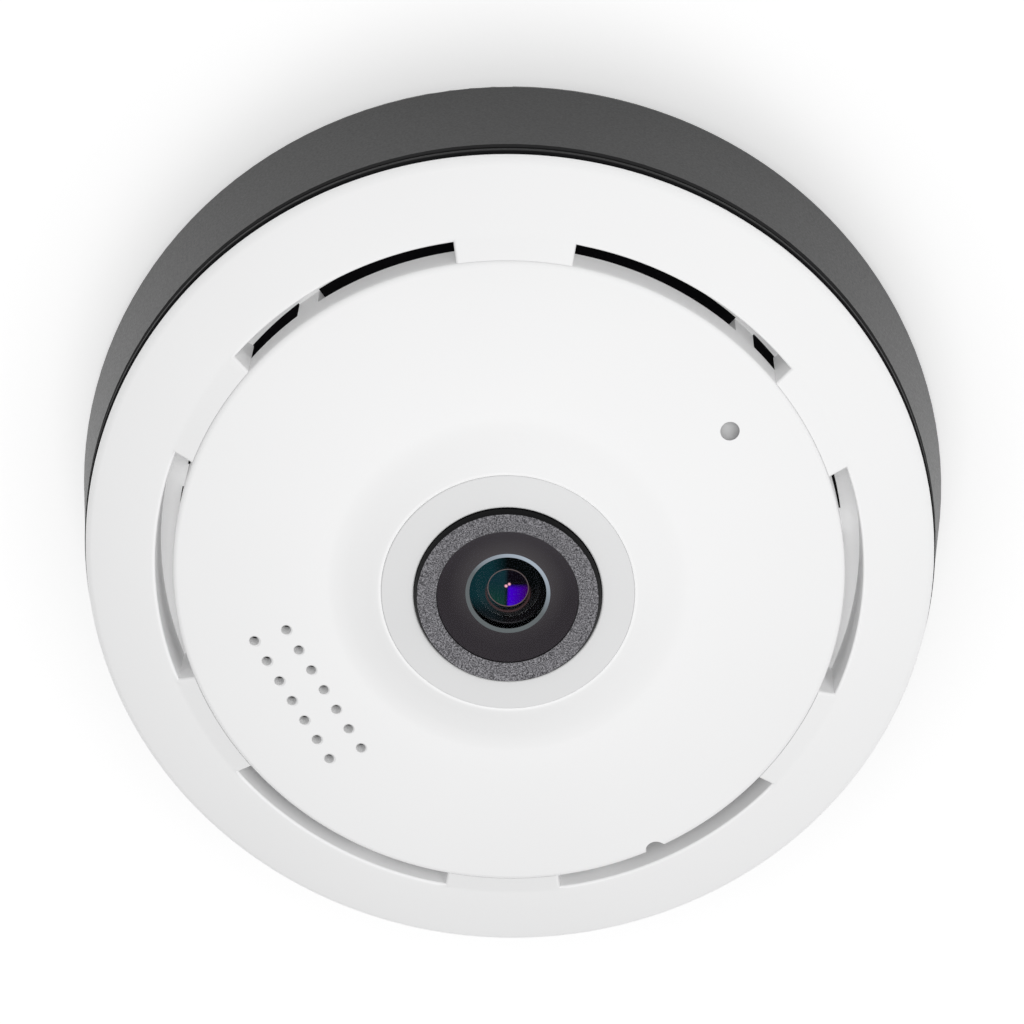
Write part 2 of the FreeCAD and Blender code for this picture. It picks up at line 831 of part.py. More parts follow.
def dome_shell():
    """Turned shell of the dome: boss, crown, shoulder, skirt and ledge."""
    turn = dome_shoulder
    edge = (dome_radius - turn, dome_edge_height)
    bend = (dome_radius - turn * (1 - math.sqrt(0.5)), dome_edge_height - turn * (1 - math.sqrt(0.5)))
    foot = (boss_foot_radius, boss_foot_height)
    crown = ((edge[0] + foot[0]) / 2, (edge[1] + foot[1]) / 2 + crown_rise)
    waist = (boss_waist_radius, boss_waist_height)
    top = (boss_top_radius, bezel_height - boss_edge_drop)
    low_bend = ((foot[0] + waist[0]) / 2, (foot[1] + waist[1]) / 2 - boss_low_bend)
    high_bend = ((waist[0] + top[0]) / 2, (waist[1] + top[1]) / 2 + boss_high_bend)
    skirt_inner = dome_radius - dome_wall
    seat = bezel_radius + seat_clearance
    seat_inner = bezel_opening + bezel_seat_overlap
    hub_low = bezel_low - dome_wall
    return lathe(
        (seat, top[1]), top, (high_bend, waist), (low_bend, foot), (crown, edge),
        (bend, (dome_radius, dome_edge_height - turn)), (dome_radius, ledge_height),
        (ledge_radius, ledge_height), (ledge_radius, ledge_low), (skirt_inner, ledge_low),
        (skirt_inner, dome_edge_height - dome_wall - mould_step), (crown[0], crown[1] - dome_wall),
        (foot[0], hub_low), (seat_inner, hub_low), (seat_inner, bezel_low), (seat, bezel_low))


def face_dome():
    """White dome with windows in its skirt, sound holes, collars, bosses and screw ears."""
    shell = dome_shell()
    inside = dome_edge_height - dome_wall / 2
    hollow_length = speaker_length + 2 * fit_clearance
    hollow_width = speaker_width + 2 * fit_clearance
    collar_low = speaker_seat_height - speaker_collar_depth
    pad = racetrack(hollow_length + 2 * speaker_collar, hollow_width + 2 * speaker_collar, collar_low, inside)
    hollow = racetrack(hollow_length, hollow_width, collar_low - 1, speaker_seat_height)
    mic_x, mic_y = mic_place()
    mic_inner = mic_radius + mic_boot_wall + fit_clearance
    mic_low = mic_seat_height - mic_collar_depth
    mic_pad = disc(mic_inner + mic_collar, mic_low, inside, mic_x, mic_y)
    mic_hollow = disc(mic_inner, mic_low - 1, mic_seat_height, mic_x, mic_y)
    boss_high = inside - lamp_boss_root
    bosses = [disc(lamp_boss_radius, lamp_board_top, boss_high, x, y) for x, y in lamp_boss_points()]
    ears = [disc(post_radius, ledge_low, ledge_height, x, y) for x, y in post_points()]
    shell = shell.fuse([pad, mic_pad] + bosses + ears)
    cuts = [hollow, mic_hollow]
    pitch = 360.0 / window_count
    skirt_inner = dome_radius - dome_wall
    for angle in around(window_count, window_first_rib):
        first = angle + window_rib_angle / 2
        last = angle + pitch - window_rib_angle / 2
        high = ledge_height + window_height
        cuts.append(sector(skirt_inner - 0.5, dome_radius + 0.5, ledge_height, high, first, last))
        cuts.append(sector(skirt_inner - 0.5, dome_radius, ledge_low - 1, ledge_height + 1, first, last))
    hole_high = lamp_board_low + small_screw_length + screw_end_room
    for x, y in lamp_boss_points():
        cuts.append(disc(small_screw_radius + seat_clearance, lamp_board_top - 1, hole_high, x, y))
    for x, y in post_points():
        cuts.append(disc(housing_screw_radius + screw_clearance, ledge_low - 1, ledge_height + 1, x, y))
    x, y = polar(dome_radius, notch_angle)
    cuts.append(disc(notch_radius, dome_edge_height - notch_depth, dome_edge_height + 2, x, y))
    cuts.append(disc(mic_dimple_radius, mic_dimple_height, bezel_height, mic_x, mic_y))
    cuts.append(disc(mic_hole_radius, mic_seat_height - 1, bezel_height, mic_x, mic_y + mic_hole_offset))
    shell = shell.cut(cuts + sound_holes())
    return shell.removeSplitter()


def window_strip():
    """Dark strip behind the windows, which hides the inside and lets infrared light through."""
    outer = dome_radius - dome_wall - seat_clearance
    high = ledge_height + window_height + window_strip_lap
    return ring(outer - window_strip_thick, outer, lamp_board_low - window_strip_drop, high)


# Lens front and barrel


def lens_bezel_ring():
    """Pale insert ring around the lens."""
    chamfer = bezel_chamfer
    return lathe((bezel_opening, bezel_low), (bezel_radius, bezel_low),
                 (bezel_radius, bezel_height - chamfer), (bezel_radius - chamfer, bezel_height),
                 (bezel_opening + chamfer, bezel_height + bezel_slope),
                 (bezel_opening, bezel_height + bezel_slope - chamfer))


def lens_trim_ring():
    """Front cap of the lens: a textured face over a bore that grips the barrel."""
    low = bezel_low + trim_skirt_gap
    bore = barrel_radius + seat_clearance
    return lathe((bore, low), (trim_radius, low), (trim_radius, bezel_height + trim_side_height),
                 (trim_radius - trim_chamfer, trim_face), (trim_opening, trim_inner_face),
                 (trim_opening, glass_edge_top + seat_clearance), (bore, glass_edge_top + seat_clearance))


def glass_rim_radius():
    """Outer radius of the front element, held under the trim ring's lip."""
    return trim_opening + glass_margin


def front_glass():
    """Bulging front element with a chamfered bowl behind."""
    rim = glass_rim_radius()
    shoulder = trim_opening - seat_clearance
    apex = trim_inner_face + glass_bulge
    face_edge = trim_inner_face - glass_edge_drop
    bulge_middle = cap_middle(shoulder, face_edge, apex)
    bowl_low = glass_edge_low + glass_bowl_chamfer
    bowl_top = glass_edge_low + glass_bowl_depth
    bowl_middle = cap_middle(glass_bowl_radius, bowl_low, bowl_top)
    bowl_rim = glass_bowl_radius + glass_bowl_chamfer
    return lathe((0, bowl_top), (bowl_middle, (glass_bowl_radius, bowl_low)), (bowl_rim, glass_edge_low),
                 (rim, glass_edge_low), (rim, glass_edge_top), (shoulder, glass_edge_top),
                 (shoulder, face_edge), (bulge_middle, (0, apex)))


def barrel_neck_top():
    """Height where the thread ends and the wide front of the barrel begins."""
    return tower_top + barrel_shoulder_gap


def rear_bore():
    """Radius of the barrel's narrow bore, which holds the rear elements."""
    return barrel_thread_radius - barrel_wall


def barrel_low():
    """Lower end of the barrel."""
    return tower_low + barrel_foot_gap


def element_heights():
    """Low and high of the edges of the elements and the stop, from the sensor side to the front."""
    rear_low = barrel_low() + barrel_seat + element_bulge
    rear_high = rear_low + rear_element_thick - element_bulge
    stop_low = rear_high + element_bulge + element_gap
    stop_high = stop_low + stop_thick
    third_low = stop_high + element_bulge + element_gap
    third_high = third_low + third_element_thick
    second_high = glass_edge_low - spacer_tall
    second_low = second_high - second_element_thick
    return {"rear": (rear_low, rear_high), "stop": (stop_low, stop_high), "third": (third_low, third_high),
            "second": (second_low, second_high)}


def lens_barrel():
    """Threaded barrel that widens to the front element's seat."""
    heights = element_heights()
    low = barrel_low()
    second_seat = heights["second"][0] - seat_clearance
    rear_seat = heights["rear"][0] - seat_clearance
    neck = barrel_neck_top()
    bore = rear_bore() + seat_clearance
    mid_bore = second_element_radius + seat_clearance
    front_bore = glass_rim_radius() + seat_clearance
    front_edge = glass_edge_top - seat_clearance
    front_seat = glass_edge_low - seat_clearance
    seat = rear_bore() - element_land
    return lathe(
        (seat, low), (barrel_thread_radius, low), (barrel_thread_radius, neck), (barrel_radius, neck),
        (barrel_radius, front_edge), (front_bore, front_edge), (front_bore, front_seat),
        (mid_bore, front_seat), (mid_bore, second_seat), (bore, second_seat), (bore, rear_seat),
        (seat, rear_seat))


def convex(radius, low, high):
    """Round element with both faces bulging inside a flat rim."""
    bottom = low - element_bulge
    top = high + element_bulge
    edge = radius - element_land
    return lathe((0, bottom), (cap_middle(edge, low, bottom), (edge, low)), (radius, low),
                 (radius, high), (edge, high), (cap_middle(edge, high, top), (0, top)))


def rear_lens():
    """Rear element next to the sensor."""
    return convex(rear_bore(), *element_heights()["rear"])


def third_lens():
    """Element ahead of the stop."""
    return convex(rear_bore(), *element_heights()["third"])


def second_lens():
    """Second element with a bowl behind it."""
    low, high = element_heights()["second"]
    bowl = rear_bore() - second_element_land
    bowl_top = low + second_element_bowl
    top = high + element_bulge
    curve = second_element_curve
    return lathe((0, bowl_top), (cap_middle(bowl, low, bowl_top), (bowl, low)), (second_element_radius, low),
                 (second_element_radius, high), (curve, high), (cap_middle(curve, high, top), (0, top)))


def lens_stop():
    """Black ring with a small hole that sets the lens's aperture."""
    low, high = element_heights()["stop"]
    return ring(stop_opening, rear_bore(), low, high)


def lens_spacer():
    """Black cone between the front and second elements, with a ring around it."""
    high = glass_edge_low - seat_clearance
    low = element_heights()["second"][1] + seat_clearance
    inner = second_element_curve + spacer_lip
    return lathe((inner, low), (second_element_radius, low), (second_element_radius, high),
                 (second_element_radius - spacer_wall, high), (inner, low + spacer_lip))


# Lens holder and the filter switch


def switch_half_length():
    """Half of the filter switch's inner length along X."""
    return filter_window / 2 + slider_margin + filter_travel + switch_room


def lens_holder():
    """Box over the sensor and the filter switch, with rails inside and a threaded tower on top."""
    half = switch_half_length()
    inner_low = -slider_half_depth - switch_end_room
    inner_high = crank_y + rotor_radius + 2 * coil_radius + coil_end_room
    deep = inner_high - inner_low
    y = (inner_high + inner_low) / 2
    outer = block(0, y, sensor_board_top, 2 * (half + switch_wall), deep + 2 * switch_wall,
                  tower_low - sensor_board_top)
    inner = block(0, y, sensor_board_top - 1, 2 * half, deep, switch_roof - sensor_board_top + 1)
    box = outer.cut(inner)
    rail_inner = slider_half_depth - rail_overlap
    rail_long = 2 * half + switch_wall / 2
    front_deep = -rail_inner - inner_low + switch_wall / 4
    front_rail = block(0, -rail_inner - front_deep / 2, rail_low, rail_long, front_deep, rail_thick)
    back_rail = block(0, rail_inner + back_rail_wide / 2, rail_low, rail_long, back_rail_wide, rail_thick)
    tower = disc(barrel_thread_radius + holder_wall, tower_low - switch_wall / 2, tower_top)
    axle = disc(rotor_axle_radius, sensor_board_top, switch_roof + switch_wall / 2, 0, crank_y)
    box = box.fuse([front_rail, back_rail, tower, axle])
    bore = disc(barrel_thread_radius + holder_bore_clearance, tower_low, tower_top + 1)
    window = disc(filter_window / 2 + light_path_play, switch_roof - 1, tower_low + 1)
    return box.cut([bore, window]).removeSplitter()


def filter_slider():
    """Flat carrier with two windows and a fork for the crank's pin."""
    left = -filter_travel - filter_window / 2 - slider_margin
    right = filter_window / 2 + slider_margin
    plate = block((left + right) / 2, 0, slider_low, right - left, 2 * slider_half_depth, slider_thick)
    fork_x = -filter_travel / 2
    slot = 2 * (crank_pin_radius + crank_pin_play)
    fork_end = crank_y - rotor_radius - fork_tip_gap
    fork_start = slider_half_depth - fork_root
    fork_deep = fork_end - fork_start
    fork_wide = slot + 2 * fork_prong
    fork = block(fork_x, fork_start + fork_deep / 2, slider_low, fork_wide, fork_deep, slider_thick)
    gap_y = fork_start + fork_root / 2 + fork_deep / 2
    gap = block(fork_x, gap_y, slider_low - 1, slot, fork_deep, slider_thick + 2)
    plate = plate.fuse(fork).cut(gap)
    opening = filter_window - 2 * filter_ledge
    recess_low = slider_top - filter_glass_thick - filter_glass_drop
    for x in (0, -filter_travel):
        plate = plate.cut(block(x, 0, slider_low - 1, opening, opening, slider_thick + 2))
        plate = plate.cut(block(x, 0, recess_low, filter_window, filter_window, 1))
    return plate.removeSplitter()


def filter_glass(x):
    """One square filter glass in its recess of the slider."""
    side = filter_window - 2 * seat_clearance
    low = slider_top - filter_glass_thick - filter_glass_drop
    return block(x, 0, low, side, side, filter_glass_thick)


def crank_rotor():
    """Magnet rotor with an arm whose pin stands in the slider's fork."""
    start = math.degrees(math.asin(filter_travel / 2 / crank_length))
    magnet_low = sensor_board_top + slider_gap
    crank_high = crank_low + crank_thick
    pin_y = crank_y - crank_length
    knob_radius = crank_pin_radius + crank_arm_edge
    magnet = disc(rotor_radius, magnet_low, crank_high, 0, crank_y)
    arm = block(0, (crank_y + pin_y) / 2, crank_low, 2 * knob_radius, crank_length, crank_thick)
    knob = disc(knob_radius, crank_low, crank_high, 0, pin_y)
    pin = disc(crank_pin_radius, slider_low, (crank_low + crank_high) / 2, 0, pin_y)
    rotor = magnet.fuse([arm, knob, pin])
    rotor = rotor.cut(disc(rotor_axle_radius + rotor_play, magnet_low - 1, switch_roof + 1, 0, crank_y))
    rotor.rotate(FreeCAD.Vector(0, crank_y, 0), UP, -start)
    return rotor.removeSplitter()


def filter_coil():
    """Wound coil on an iron core beside the rotor."""
    y = crank_y + rotor_radius + coil_radius + coil_gap
    height = sensor_board_top + coil_radius + coil_lift
    along = FreeCAD.Vector(1, 0, 0)
    coil = Part.makeCylinder(coil_radius, coil_length, FreeCAD.Vector(-coil_length / 2, y, height), along)
    core_long = coil_length + 2 * coil_core_end
    core_start = FreeCAD.Vector(-core_long / 2, y, height)
    core = Part.makeCylinder(coil_radius * coil_core_share, core_long, core_start, along)
    foot_x = (core_long - coil_foot) / 2
    feet = [block(side * foot_x, y, sensor_board_top, coil_foot, coil_radius, height - sensor_board_top)
            for side in (-1, 1)]
    return coil.fuse([core] + feet).removeSplitter()


# Boards and what stands on them


def board_screw(x, y, seat, direction):
    """Small pan-head screw: its head rests on the height seat and it points up or down."""
    head = disc(small_head_radius, 0, small_head_height, x, y)
    shank = disc(small_screw_radius, -small_screw_length, small_head_height / 2, x, y)
    screw = head.fuse(shank)
    if direction > 0:
        screw.rotate(FreeCAD.Vector(x, y, 0), FreeCAD.Vector(1, 0, 0), 180)
    screw.translate(FreeCAD.Vector(0, 0, seat))
    return screw.removeSplitter()


def board_screws():
    """Three screws that hold the main board and three that hold the lamp board."""
    screws = [board_screw(x, y, board_top, -1) for x, y in standoff_points()]
    screws += [board_screw(x, y, lamp_board_low, 1) for x, y in lamp_boss_points()]
    return Part.makeCompound(screws)


def main_board():
    """Round main board with a tongue under the ports and holes for its screws."""
    board = disc(board_radius, board_low, board_top)
    tongue = sector(1, port_board_edge(), board_low, board_top, port_board_first_angle, port_board_last_angle)
    board = board.fuse(tongue)
    hole = small_screw_radius + screw_clearance
    holes = [disc(hole, board_low - 1, board_top + 1, x, y) for x, y in standoff_points()]
    return board.cut(holes).removeSplitter()


def spacer_points():
    """Plan positions of the four spacers under the sensor board."""
    x = sensor_board_wide / 2 - spacer_radius - spacer_inset
    half = sensor_board_deep / 2 - spacer_radius - spacer_inset
    return [(sx * x, sensor_board_offset + sy * half) for sx in (-1, 1) for sy in (-1, 1)]


def board_spacers():
    """Four round spacers between the two boards."""
    spacers = [disc(spacer_radius, board_top, sensor_board_low, x, y) for x, y in spacer_points()]
    return Part.makeCompound(spacers)


def sensor_board():
    """Rectangular board that carries the image sensor and the lens holder."""
    board = block(0, sensor_board_offset, sensor_board_low, sensor_board_wide, sensor_board_deep,
                  sensor_board_thick)
    upright = [edge for edge in board.Edges
               if abs(edge.Vertexes[0].Point.z - edge.Vertexes[1].Point.z) > sensor_board_thick / 2]
    return board.makeFillet(sensor_board_corner, upright)


def image_sensor():
    """Square sensor package with a glass lid."""
    package = block(0, 0, sensor_board_top, sensor_wide, sensor_wide, sensor_thick - sensor_lid_thick)
    lid_wide = sensor_wide - 2 * sensor_lid_inset
    lid = block(0, 0, sensor_top - sensor_lid_thick, lid_wide, lid_wide, sensor_lid_thick)
    return package.fuse(lid).removeSplitter()


def board_link():
    """Board-to-board connector."""
    tall = spacer_height / 2
    lower = block(0, link_y, board_top, link_wide, link_deep, tall)
    upper = block(0, link_y, board_top + tall, link_wide - link_step, link_deep - link_step, tall)
    return lower.fuse(upper).removeSplitter()


def main_processor():
    """Square processor chip."""
    return block(processor_x, processor_y, board_top, chip_wide, chip_wide, chip_thick)


def memory_chips():
    """Two small memory chips."""
    return Part.makeCompound([block(memory_x, y, board_top, memory_wide, memory_deep, chip_thick)
                              for y in memory_rows])


def power_inductors():
    """Two square inductors of the power supply."""
    return Part.makeCompound([block(x, inductor_y, board_top, inductor_wide, inductor_wide, inductor_tall)
                              for x in inductor_columns])


def capacitors():
    """Three round capacitors."""
    high = board_top + capacitor_tall
    return Part.makeCompound([disc(capacitor_radius, board_top, high, x, y) for x, y in capacitor_places])


def speaker_header():
    """Plan position of the speaker's header."""
    return speaker_header_x, speaker_header_y


def mic_header():
    """Plan position of the microphone's header."""
    return mic_header_x, mic_header_y


def lamp_header():
    """Plan position of the lamp board's header, under the middle of its ring."""
    return polar((lamp_board_inner + lamp_board_outer) / 2, lamp_header_angle)


def lead_headers():
    """Three small plug-in headers for the leads."""
    return Part.makeCompound([block(x, y, board_top, header_wide, header_deep, header_tall)
                              for x, y in (speaker_header(), mic_header(), lamp_header())])


def wifi_module():
    """Small radio board."""
    return block(wifi_x, wifi_y, board_top, wifi_wide, wifi_deep, wifi_board_thick)


def wifi_shield():
    """Thin metal can over the radio."""
    low = board_top + wifi_board_thick
    wide = wifi_wide - 2 * wifi_shield_inset - wifi_antenna_end
    deep = wifi_deep - 2 * wifi_shield_inset
    x = wifi_x + wifi_antenna_end / 2
    can = block(x, wifi_y, low, wide, deep, wifi_shield_tall)
    hollow_tall = wifi_shield_tall - wifi_skin + 1
    hollow = block(x, wifi_y, low - 1, wide - 2 * wifi_skin, deep - 2 * wifi_skin, hollow_tall)
    return can.cut(hollow)


def antenna_strip():
    """Flexible antenna stuck to the inside of the wall, following its taper."""
    high = antenna_high
    low_out = inner_radius(antenna_low) - antenna_glue
    high_out = inner_radius(high) - antenna_glue
    strip = lathe((low_out - antenna_thick, antenna_low), (low_out, antenna_low), (high_out, high),
                  (high_out - antenna_thick, high), sweep=antenna_last_angle - antenna_first_angle)
    return turned(strip, antenna_first_angle)


def antenna_coax():
    """Thin coaxial lead from the radio board to the antenna strip."""
    start_x = wifi_x - wifi_wide / 2 + wifi_antenna_end / 2
    low = board_top + wifi_board_thick
    height = antenna_low + coax_rise
    tip = inner_radius(height + coax_radius) - antenna_glue - antenna_thick - seat_clearance
    tip_x, tip_y = polar(tip, antenna_first_angle + coax_angle)
    near_x, near_y = polar(tip - coax_run, antenna_first_angle + coax_angle)
    rise = low + coax_up
    points = [(start_x, wifi_y, low), (start_x, wifi_y, rise),
              (start_x - coax_over, wifi_y, (rise + height) / 2), (near_x, near_y, height),
              (tip_x, tip_y, height)]
    return lead(coax_radius, points)


def speaker_lead():
    """Lead from the speaker down to its header."""
    angle = math.radians(speaker_angle)
    along = (speaker_length - speaker_width) / 2 + lead_edge
    x, y = speaker_place()
    x -= along * math.cos(angle)
    y -= along * math.sin(angle)
    head_x, head_y = speaker_header()
    top = speaker_seat_height - gasket_thick - speaker_tall
    low = board_top + header_tall
    return lead(lead_radius, [(x, y, top), (x, y, top - lead_drop), (head_x, head_y, low + lead_drop),
                              (head_x, head_y, low)])


def microphone_lead():
    """Lead from the microphone down to its header."""
    x, y = mic_place()
    x -= mic_lead_side[0]
    y -= mic_lead_side[1]
    head_x, head_y = mic_header()
    top = mic_seat_height - mic_boot_floor - mic_tall
    low = board_top + header_tall
    return lead(lead_radius, [(x, y, top), (x, y, top - lead_drop), (head_x, head_y, low + lead_drop),
                              (head_x, head_y, low)])


def lamp_lead():
    """Lead from the lamp board down to its header."""
    head_x, head_y = lamp_header()
    low = board_top + header_tall
    drop = lamp_lead_drop
    x = head_x + lamp_lead_shift[0]
    y = head_y - lamp_lead_shift[1]
    return lead(lead_radius, [(head_x, head_y, lamp_board_low), (head_x, head_y, lamp_board_low - drop),
                              (x, y, low + drop), (x, y, low)])


# Infrared lamps


def lamp_board():
    """Ring board inside the foot of the dome."""
    board = ring(lamp_board_inner, lamp_board_outer, lamp_board_low, lamp_board_top)
    hole = small_screw_radius + screw_clearance
    holes = [disc(hole, lamp_board_low - 1, lamp_board_top + 1, x, y) for x, y in lamp_boss_points()]
    return board.cut(holes)


def infrared_lamps():
    """One lamp behind each arc slot."""
    start = lamp_circle - lamp_deep / 2
    end = lamp_circle + lamp_deep / 2
    return Part.makeCompound([radial_block(start, end, lamp_wide, lamp_board_top, lamp_tall, angle)
                              for angle in around(slot_count, slot_first_angle)])


def light_sensor():
    """Round light sensor that tells day from night."""
    x, y = polar(lamp_circle, light_sensor_angle)
    high = lamp_board_top + light_sensor_tall
    body = disc(light_sensor_radius, lamp_board_top, high - light_sensor_radius, x, y)
    cap = Part.makeSphere(light_sensor_radius, FreeCAD.Vector(x, y, high - light_sensor_radius))
    return body.fuse(cap).removeSplitter()


# Speaker and microphone


def speaker_oblong(inset, low, high):
    """Upright oblong that lies inside the speaker's outline by an inset."""
    return racetrack(speaker_length - 2 * inset, speaker_width - 2 * inset, low, high)


def speaker_gasket():
    """Foam ring between the speaker and the dome."""
    low = speaker_seat_height - gasket_thick
    outer = speaker_oblong(0, low, speaker_seat_height)
    return outer.cut(speaker_oblong(gasket_width, low - 1, speaker_seat_height + 1))


def speaker_frame():
    """Oblong basket of the speaker."""
    high = speaker_seat_height - gasket_thick
    low = high - speaker_tall
    return speaker_oblong(0, low, high).cut(speaker_oblong(speaker_wall, low + speaker_wall, high + 1))


def speaker_cone():
    """Thin dished diaphragm with a flat edge, glued inside the basket's mouth."""
    high = speaker_seat_height - gasket_thick - cone_depth
    outer = speaker_wall + cone_clearance
    edge = speaker_oblong(outer, high - cone_thick, high)
    tub = speaker_oblong(outer + cone_edge, high - cone_dip - cone_thick, high)
    dish = speaker_oblong(outer + cone_edge + cone_thick, high - cone_dip, high + 1)
    return edge.fuse(tub).cut(dish).removeSplitter()


def speaker_magnet():
    """Round magnet under the basket."""
    high = speaker_seat_height - gasket_thick - speaker_tall
    return disc(magnet_radius, high - magnet_tall, high, *speaker_place())


def microphone_boot():
    """Rubber cup around the microphone."""
    high = mic_seat_height - mic_boot_floor
    low = high - mic_tall
    outer = disc(mic_radius + mic_boot_wall, low, mic_seat_height, *mic_place())
    pocket = disc(mic_radius, low - 1, high, *mic_place())
    hole = disc(mic_boot_hole, low, mic_seat_height + 1, *mic_place())
    return outer.cut([pocket, hole]).removeSplitter()


def microphone():
    """Round microphone capsule."""
    high = mic_seat_height - mic_boot_floor
    can = disc(mic_radius - seat_clearance, high - mic_tall, high, *mic_place())
    return can.cut(disc(mic_hole_radius, high - mic_hole_radius, high + 1, *mic_place()))


# Ports, button and status light


def usb_socket():
    """Metal shell of the power socket with its tongue."""
    front = port_board_edge() + usb_front
    start = front - usb_deep
    hollow_start = start + usb_back_wall
    hollow_wide = usb_wide - 2 * usb_skin
    hollow_tall = usb_tall - 2 * usb_skin
    tongue_low = port_height - usb_tongue_thick / 2
    shell = radial_block(start, front, usb_wide, board_top, usb_tall, usb_angle)
    hollow = radial_block(hollow_start, front + 1, hollow_wide, board_top + usb_skin, hollow_tall, usb_angle)
    tongue = radial_block(start + usb_back_wall / 2, front - usb_tongue_inset, usb_tongue_wide, tongue_low,
                          usb_tongue_thick, usb_angle)
    return shell.cut(hollow).fuse(tongue).removeSplitter()


def card_socket():
    """Flat metal socket for the memory card."""
    front = port_board_edge() + card_front
    start = front - card_socket_deep
    slot_low = card_height() - card_slot_tall / 2
    shell = radial_block(start, front, card_socket_wide, board_top, card_socket_tall, card_angle)
    slot_start = start + card_back_wall
    slot = radial_block(slot_start, front + 1, card_slot_wide, slot_low, card_slot_tall, card_angle)
    return shell.cut(slot)


def button_inner_end():
    """Distance of the button's inner end from the lens axis."""
    flange_high = port_height + button_radius + button_flange
    return inner_radius(flange_high) - button_gap - button_flange_thick


def reset_button():
    """Round button cap with a flange that keeps it inside the wall."""
    outer_end = housing_radius(port_height) - button_recess
    inner_end = button_inner_end()
    flange_end = inner_end + button_flange_thick
    cap = radial_bar(button_radius, inner_end, outer_end, port_height, button_angle)
    flange = radial_bar(button_radius + button_flange, inner_end, flange_end, port_height, button_angle)
    return cap.fuse(flange).removeSplitter()


def switch_front():
    """Distance of the switch's front face from the lens axis."""
    return button_inner_end() - plunger_reach


def switch_plunger():
    """Plunger of the switch, pushed by the button."""
    start = switch_front() - plunger_depth
    return radial_bar(plunger_radius, start, button_inner_end(), port_height, button_angle)


def reset_switch():
    """Small switch on the board's edge, with a bore for its plunger."""
    front = switch_front()
    bore_end = front - plunger_depth - button_travel - lock_clearance
    body = radial_block(front - switch_deep, front, switch_wide, board_top, switch_tall, button_angle)
    return body.cut(radial_bar(plunger_radius + plunger_play, bore_end, front + 1, port_height, button_angle))


def status_led():
    """Small status lamp on the main board."""
    front = port_board_edge() - light_led_inset
    tall = port_height - board_top + light_led_tall / 2
    return radial_block(front - light_led_wide, front, light_led_wide, board_top, tall, light_angle)


def status_light_pipe():
    """Clear rod that carries the status light to the wall."""
    start = port_board_edge() - light_led_inset + light_pipe_gap
    end = housing_radius(port_height) - button_recess
    return radial_bar(light_radius, start, end, port_height, light_angle)


# Fasteners


def housing_screw(x, y):
    """Screw from the back, through the post and the dome's ear, into the rim."""
    head = disc(housing_head_radius, screw_seat() - housing_head_height, screw_seat(), x, y)
    low = screw_seat() - housing_head_height / 2
    shank = disc(housing_screw_radius, low, ledge_height + housing_screw_bite, x, y)
    return head.fuse(shank).removeSplitter()


def housing_screws():
    """Four screws that close the body."""
    return Part.makeCompound([housing_screw(x, y) for x, y in post_points()])


NODES = {
    "ceiling_bracket": ceiling_bracket,
    "rear_housing": rear_housing,
    "reveal_ring": reveal_ring,
    "rim_cover": rim_cover,
    "face_dome": face_dome,
    "window_strip": window_strip,
    "lens_bezel_ring": lens_bezel_ring,
    "lens_trim_ring": lens_trim_ring,
    "front_glass": front_glass,
    "second_lens": second_lens,
    "third_lens": third_lens,
    "rear_lens": rear_lens,
    "lens_stop": lens_stop,
    "lens_spacer": lens_spacer,
    "lens_barrel": lens_barrel,
    "lens_holder": lens_holder,
    "filter_slider": filter_slider,
    "day_filter_glass": lambda: filter_glass(0),
    "night_filter_glass": lambda: filter_glass(-filter_travel),
    "crank_rotor": crank_rotor,
    "filter_coil": filter_coil,
    "image_sensor": image_sensor,
    "sensor_board": sensor_board,
    "board_spacers": board_spacers,
    "board_link": board_link,
    "main_board": main_board,
    "main_processor": main_processor,
    "memory_chips": memory_chips,
    "power_inductors": power_inductors,
    "capacitors": capacitors,
    "lead_headers": lead_headers,
    "wifi_module": wifi_module,
    "wifi_shield": wifi_shield,
    "antenna_strip": antenna_strip,
    "antenna_coax": antenna_coax,
    "lamp_board": lamp_board,
    "infrared_lamps": infrared_lamps,
    "light_sensor": light_sensor,
    "lamp_lead": lamp_lead,
    "speaker_gasket": speaker_gasket,
    "speaker_frame": speaker_frame,
    "speaker_cone": speaker_cone,
    "speaker_magnet": speaker_magnet,
    "speaker_lead": speaker_lead,
    "microphone_boot": microphone_boot,
    "microphone": microphone,
    "microphone_lead": microphone_lead,
    "usb_socket": usb_socket,
    "card_socket": card_socket,
    "reset_button": reset_button,
    "switch_plunger": switch_plunger,
    "reset_switch": reset_switch,
    "status_led": status_led,
    "status_light_pipe": status_light_pipe,
    "housing_screws": housing_screws,
    "board_screws": board_screws,
}


def main():
    """Build every piece and write it to its own file."""
    os.makedirs("parts", exist_ok=True)
    for name, make in NODES.items():
        shape = make()
        if len(shape.Solids) == 1:
            shape = shape.Solids[0]
        shape.exportStep("parts/" + name + ".step")
        print(name, len(shape.Solids), round(shape.Volume, 1), shape.isValid())


main()
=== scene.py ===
"""Round ceiling camera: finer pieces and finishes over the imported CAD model."""

import json
import logging
import math
from dataclasses import dataclass
from enum import Enum
from functools import cache

import bmesh
import bpy
from mathutils import Matrix, Vector


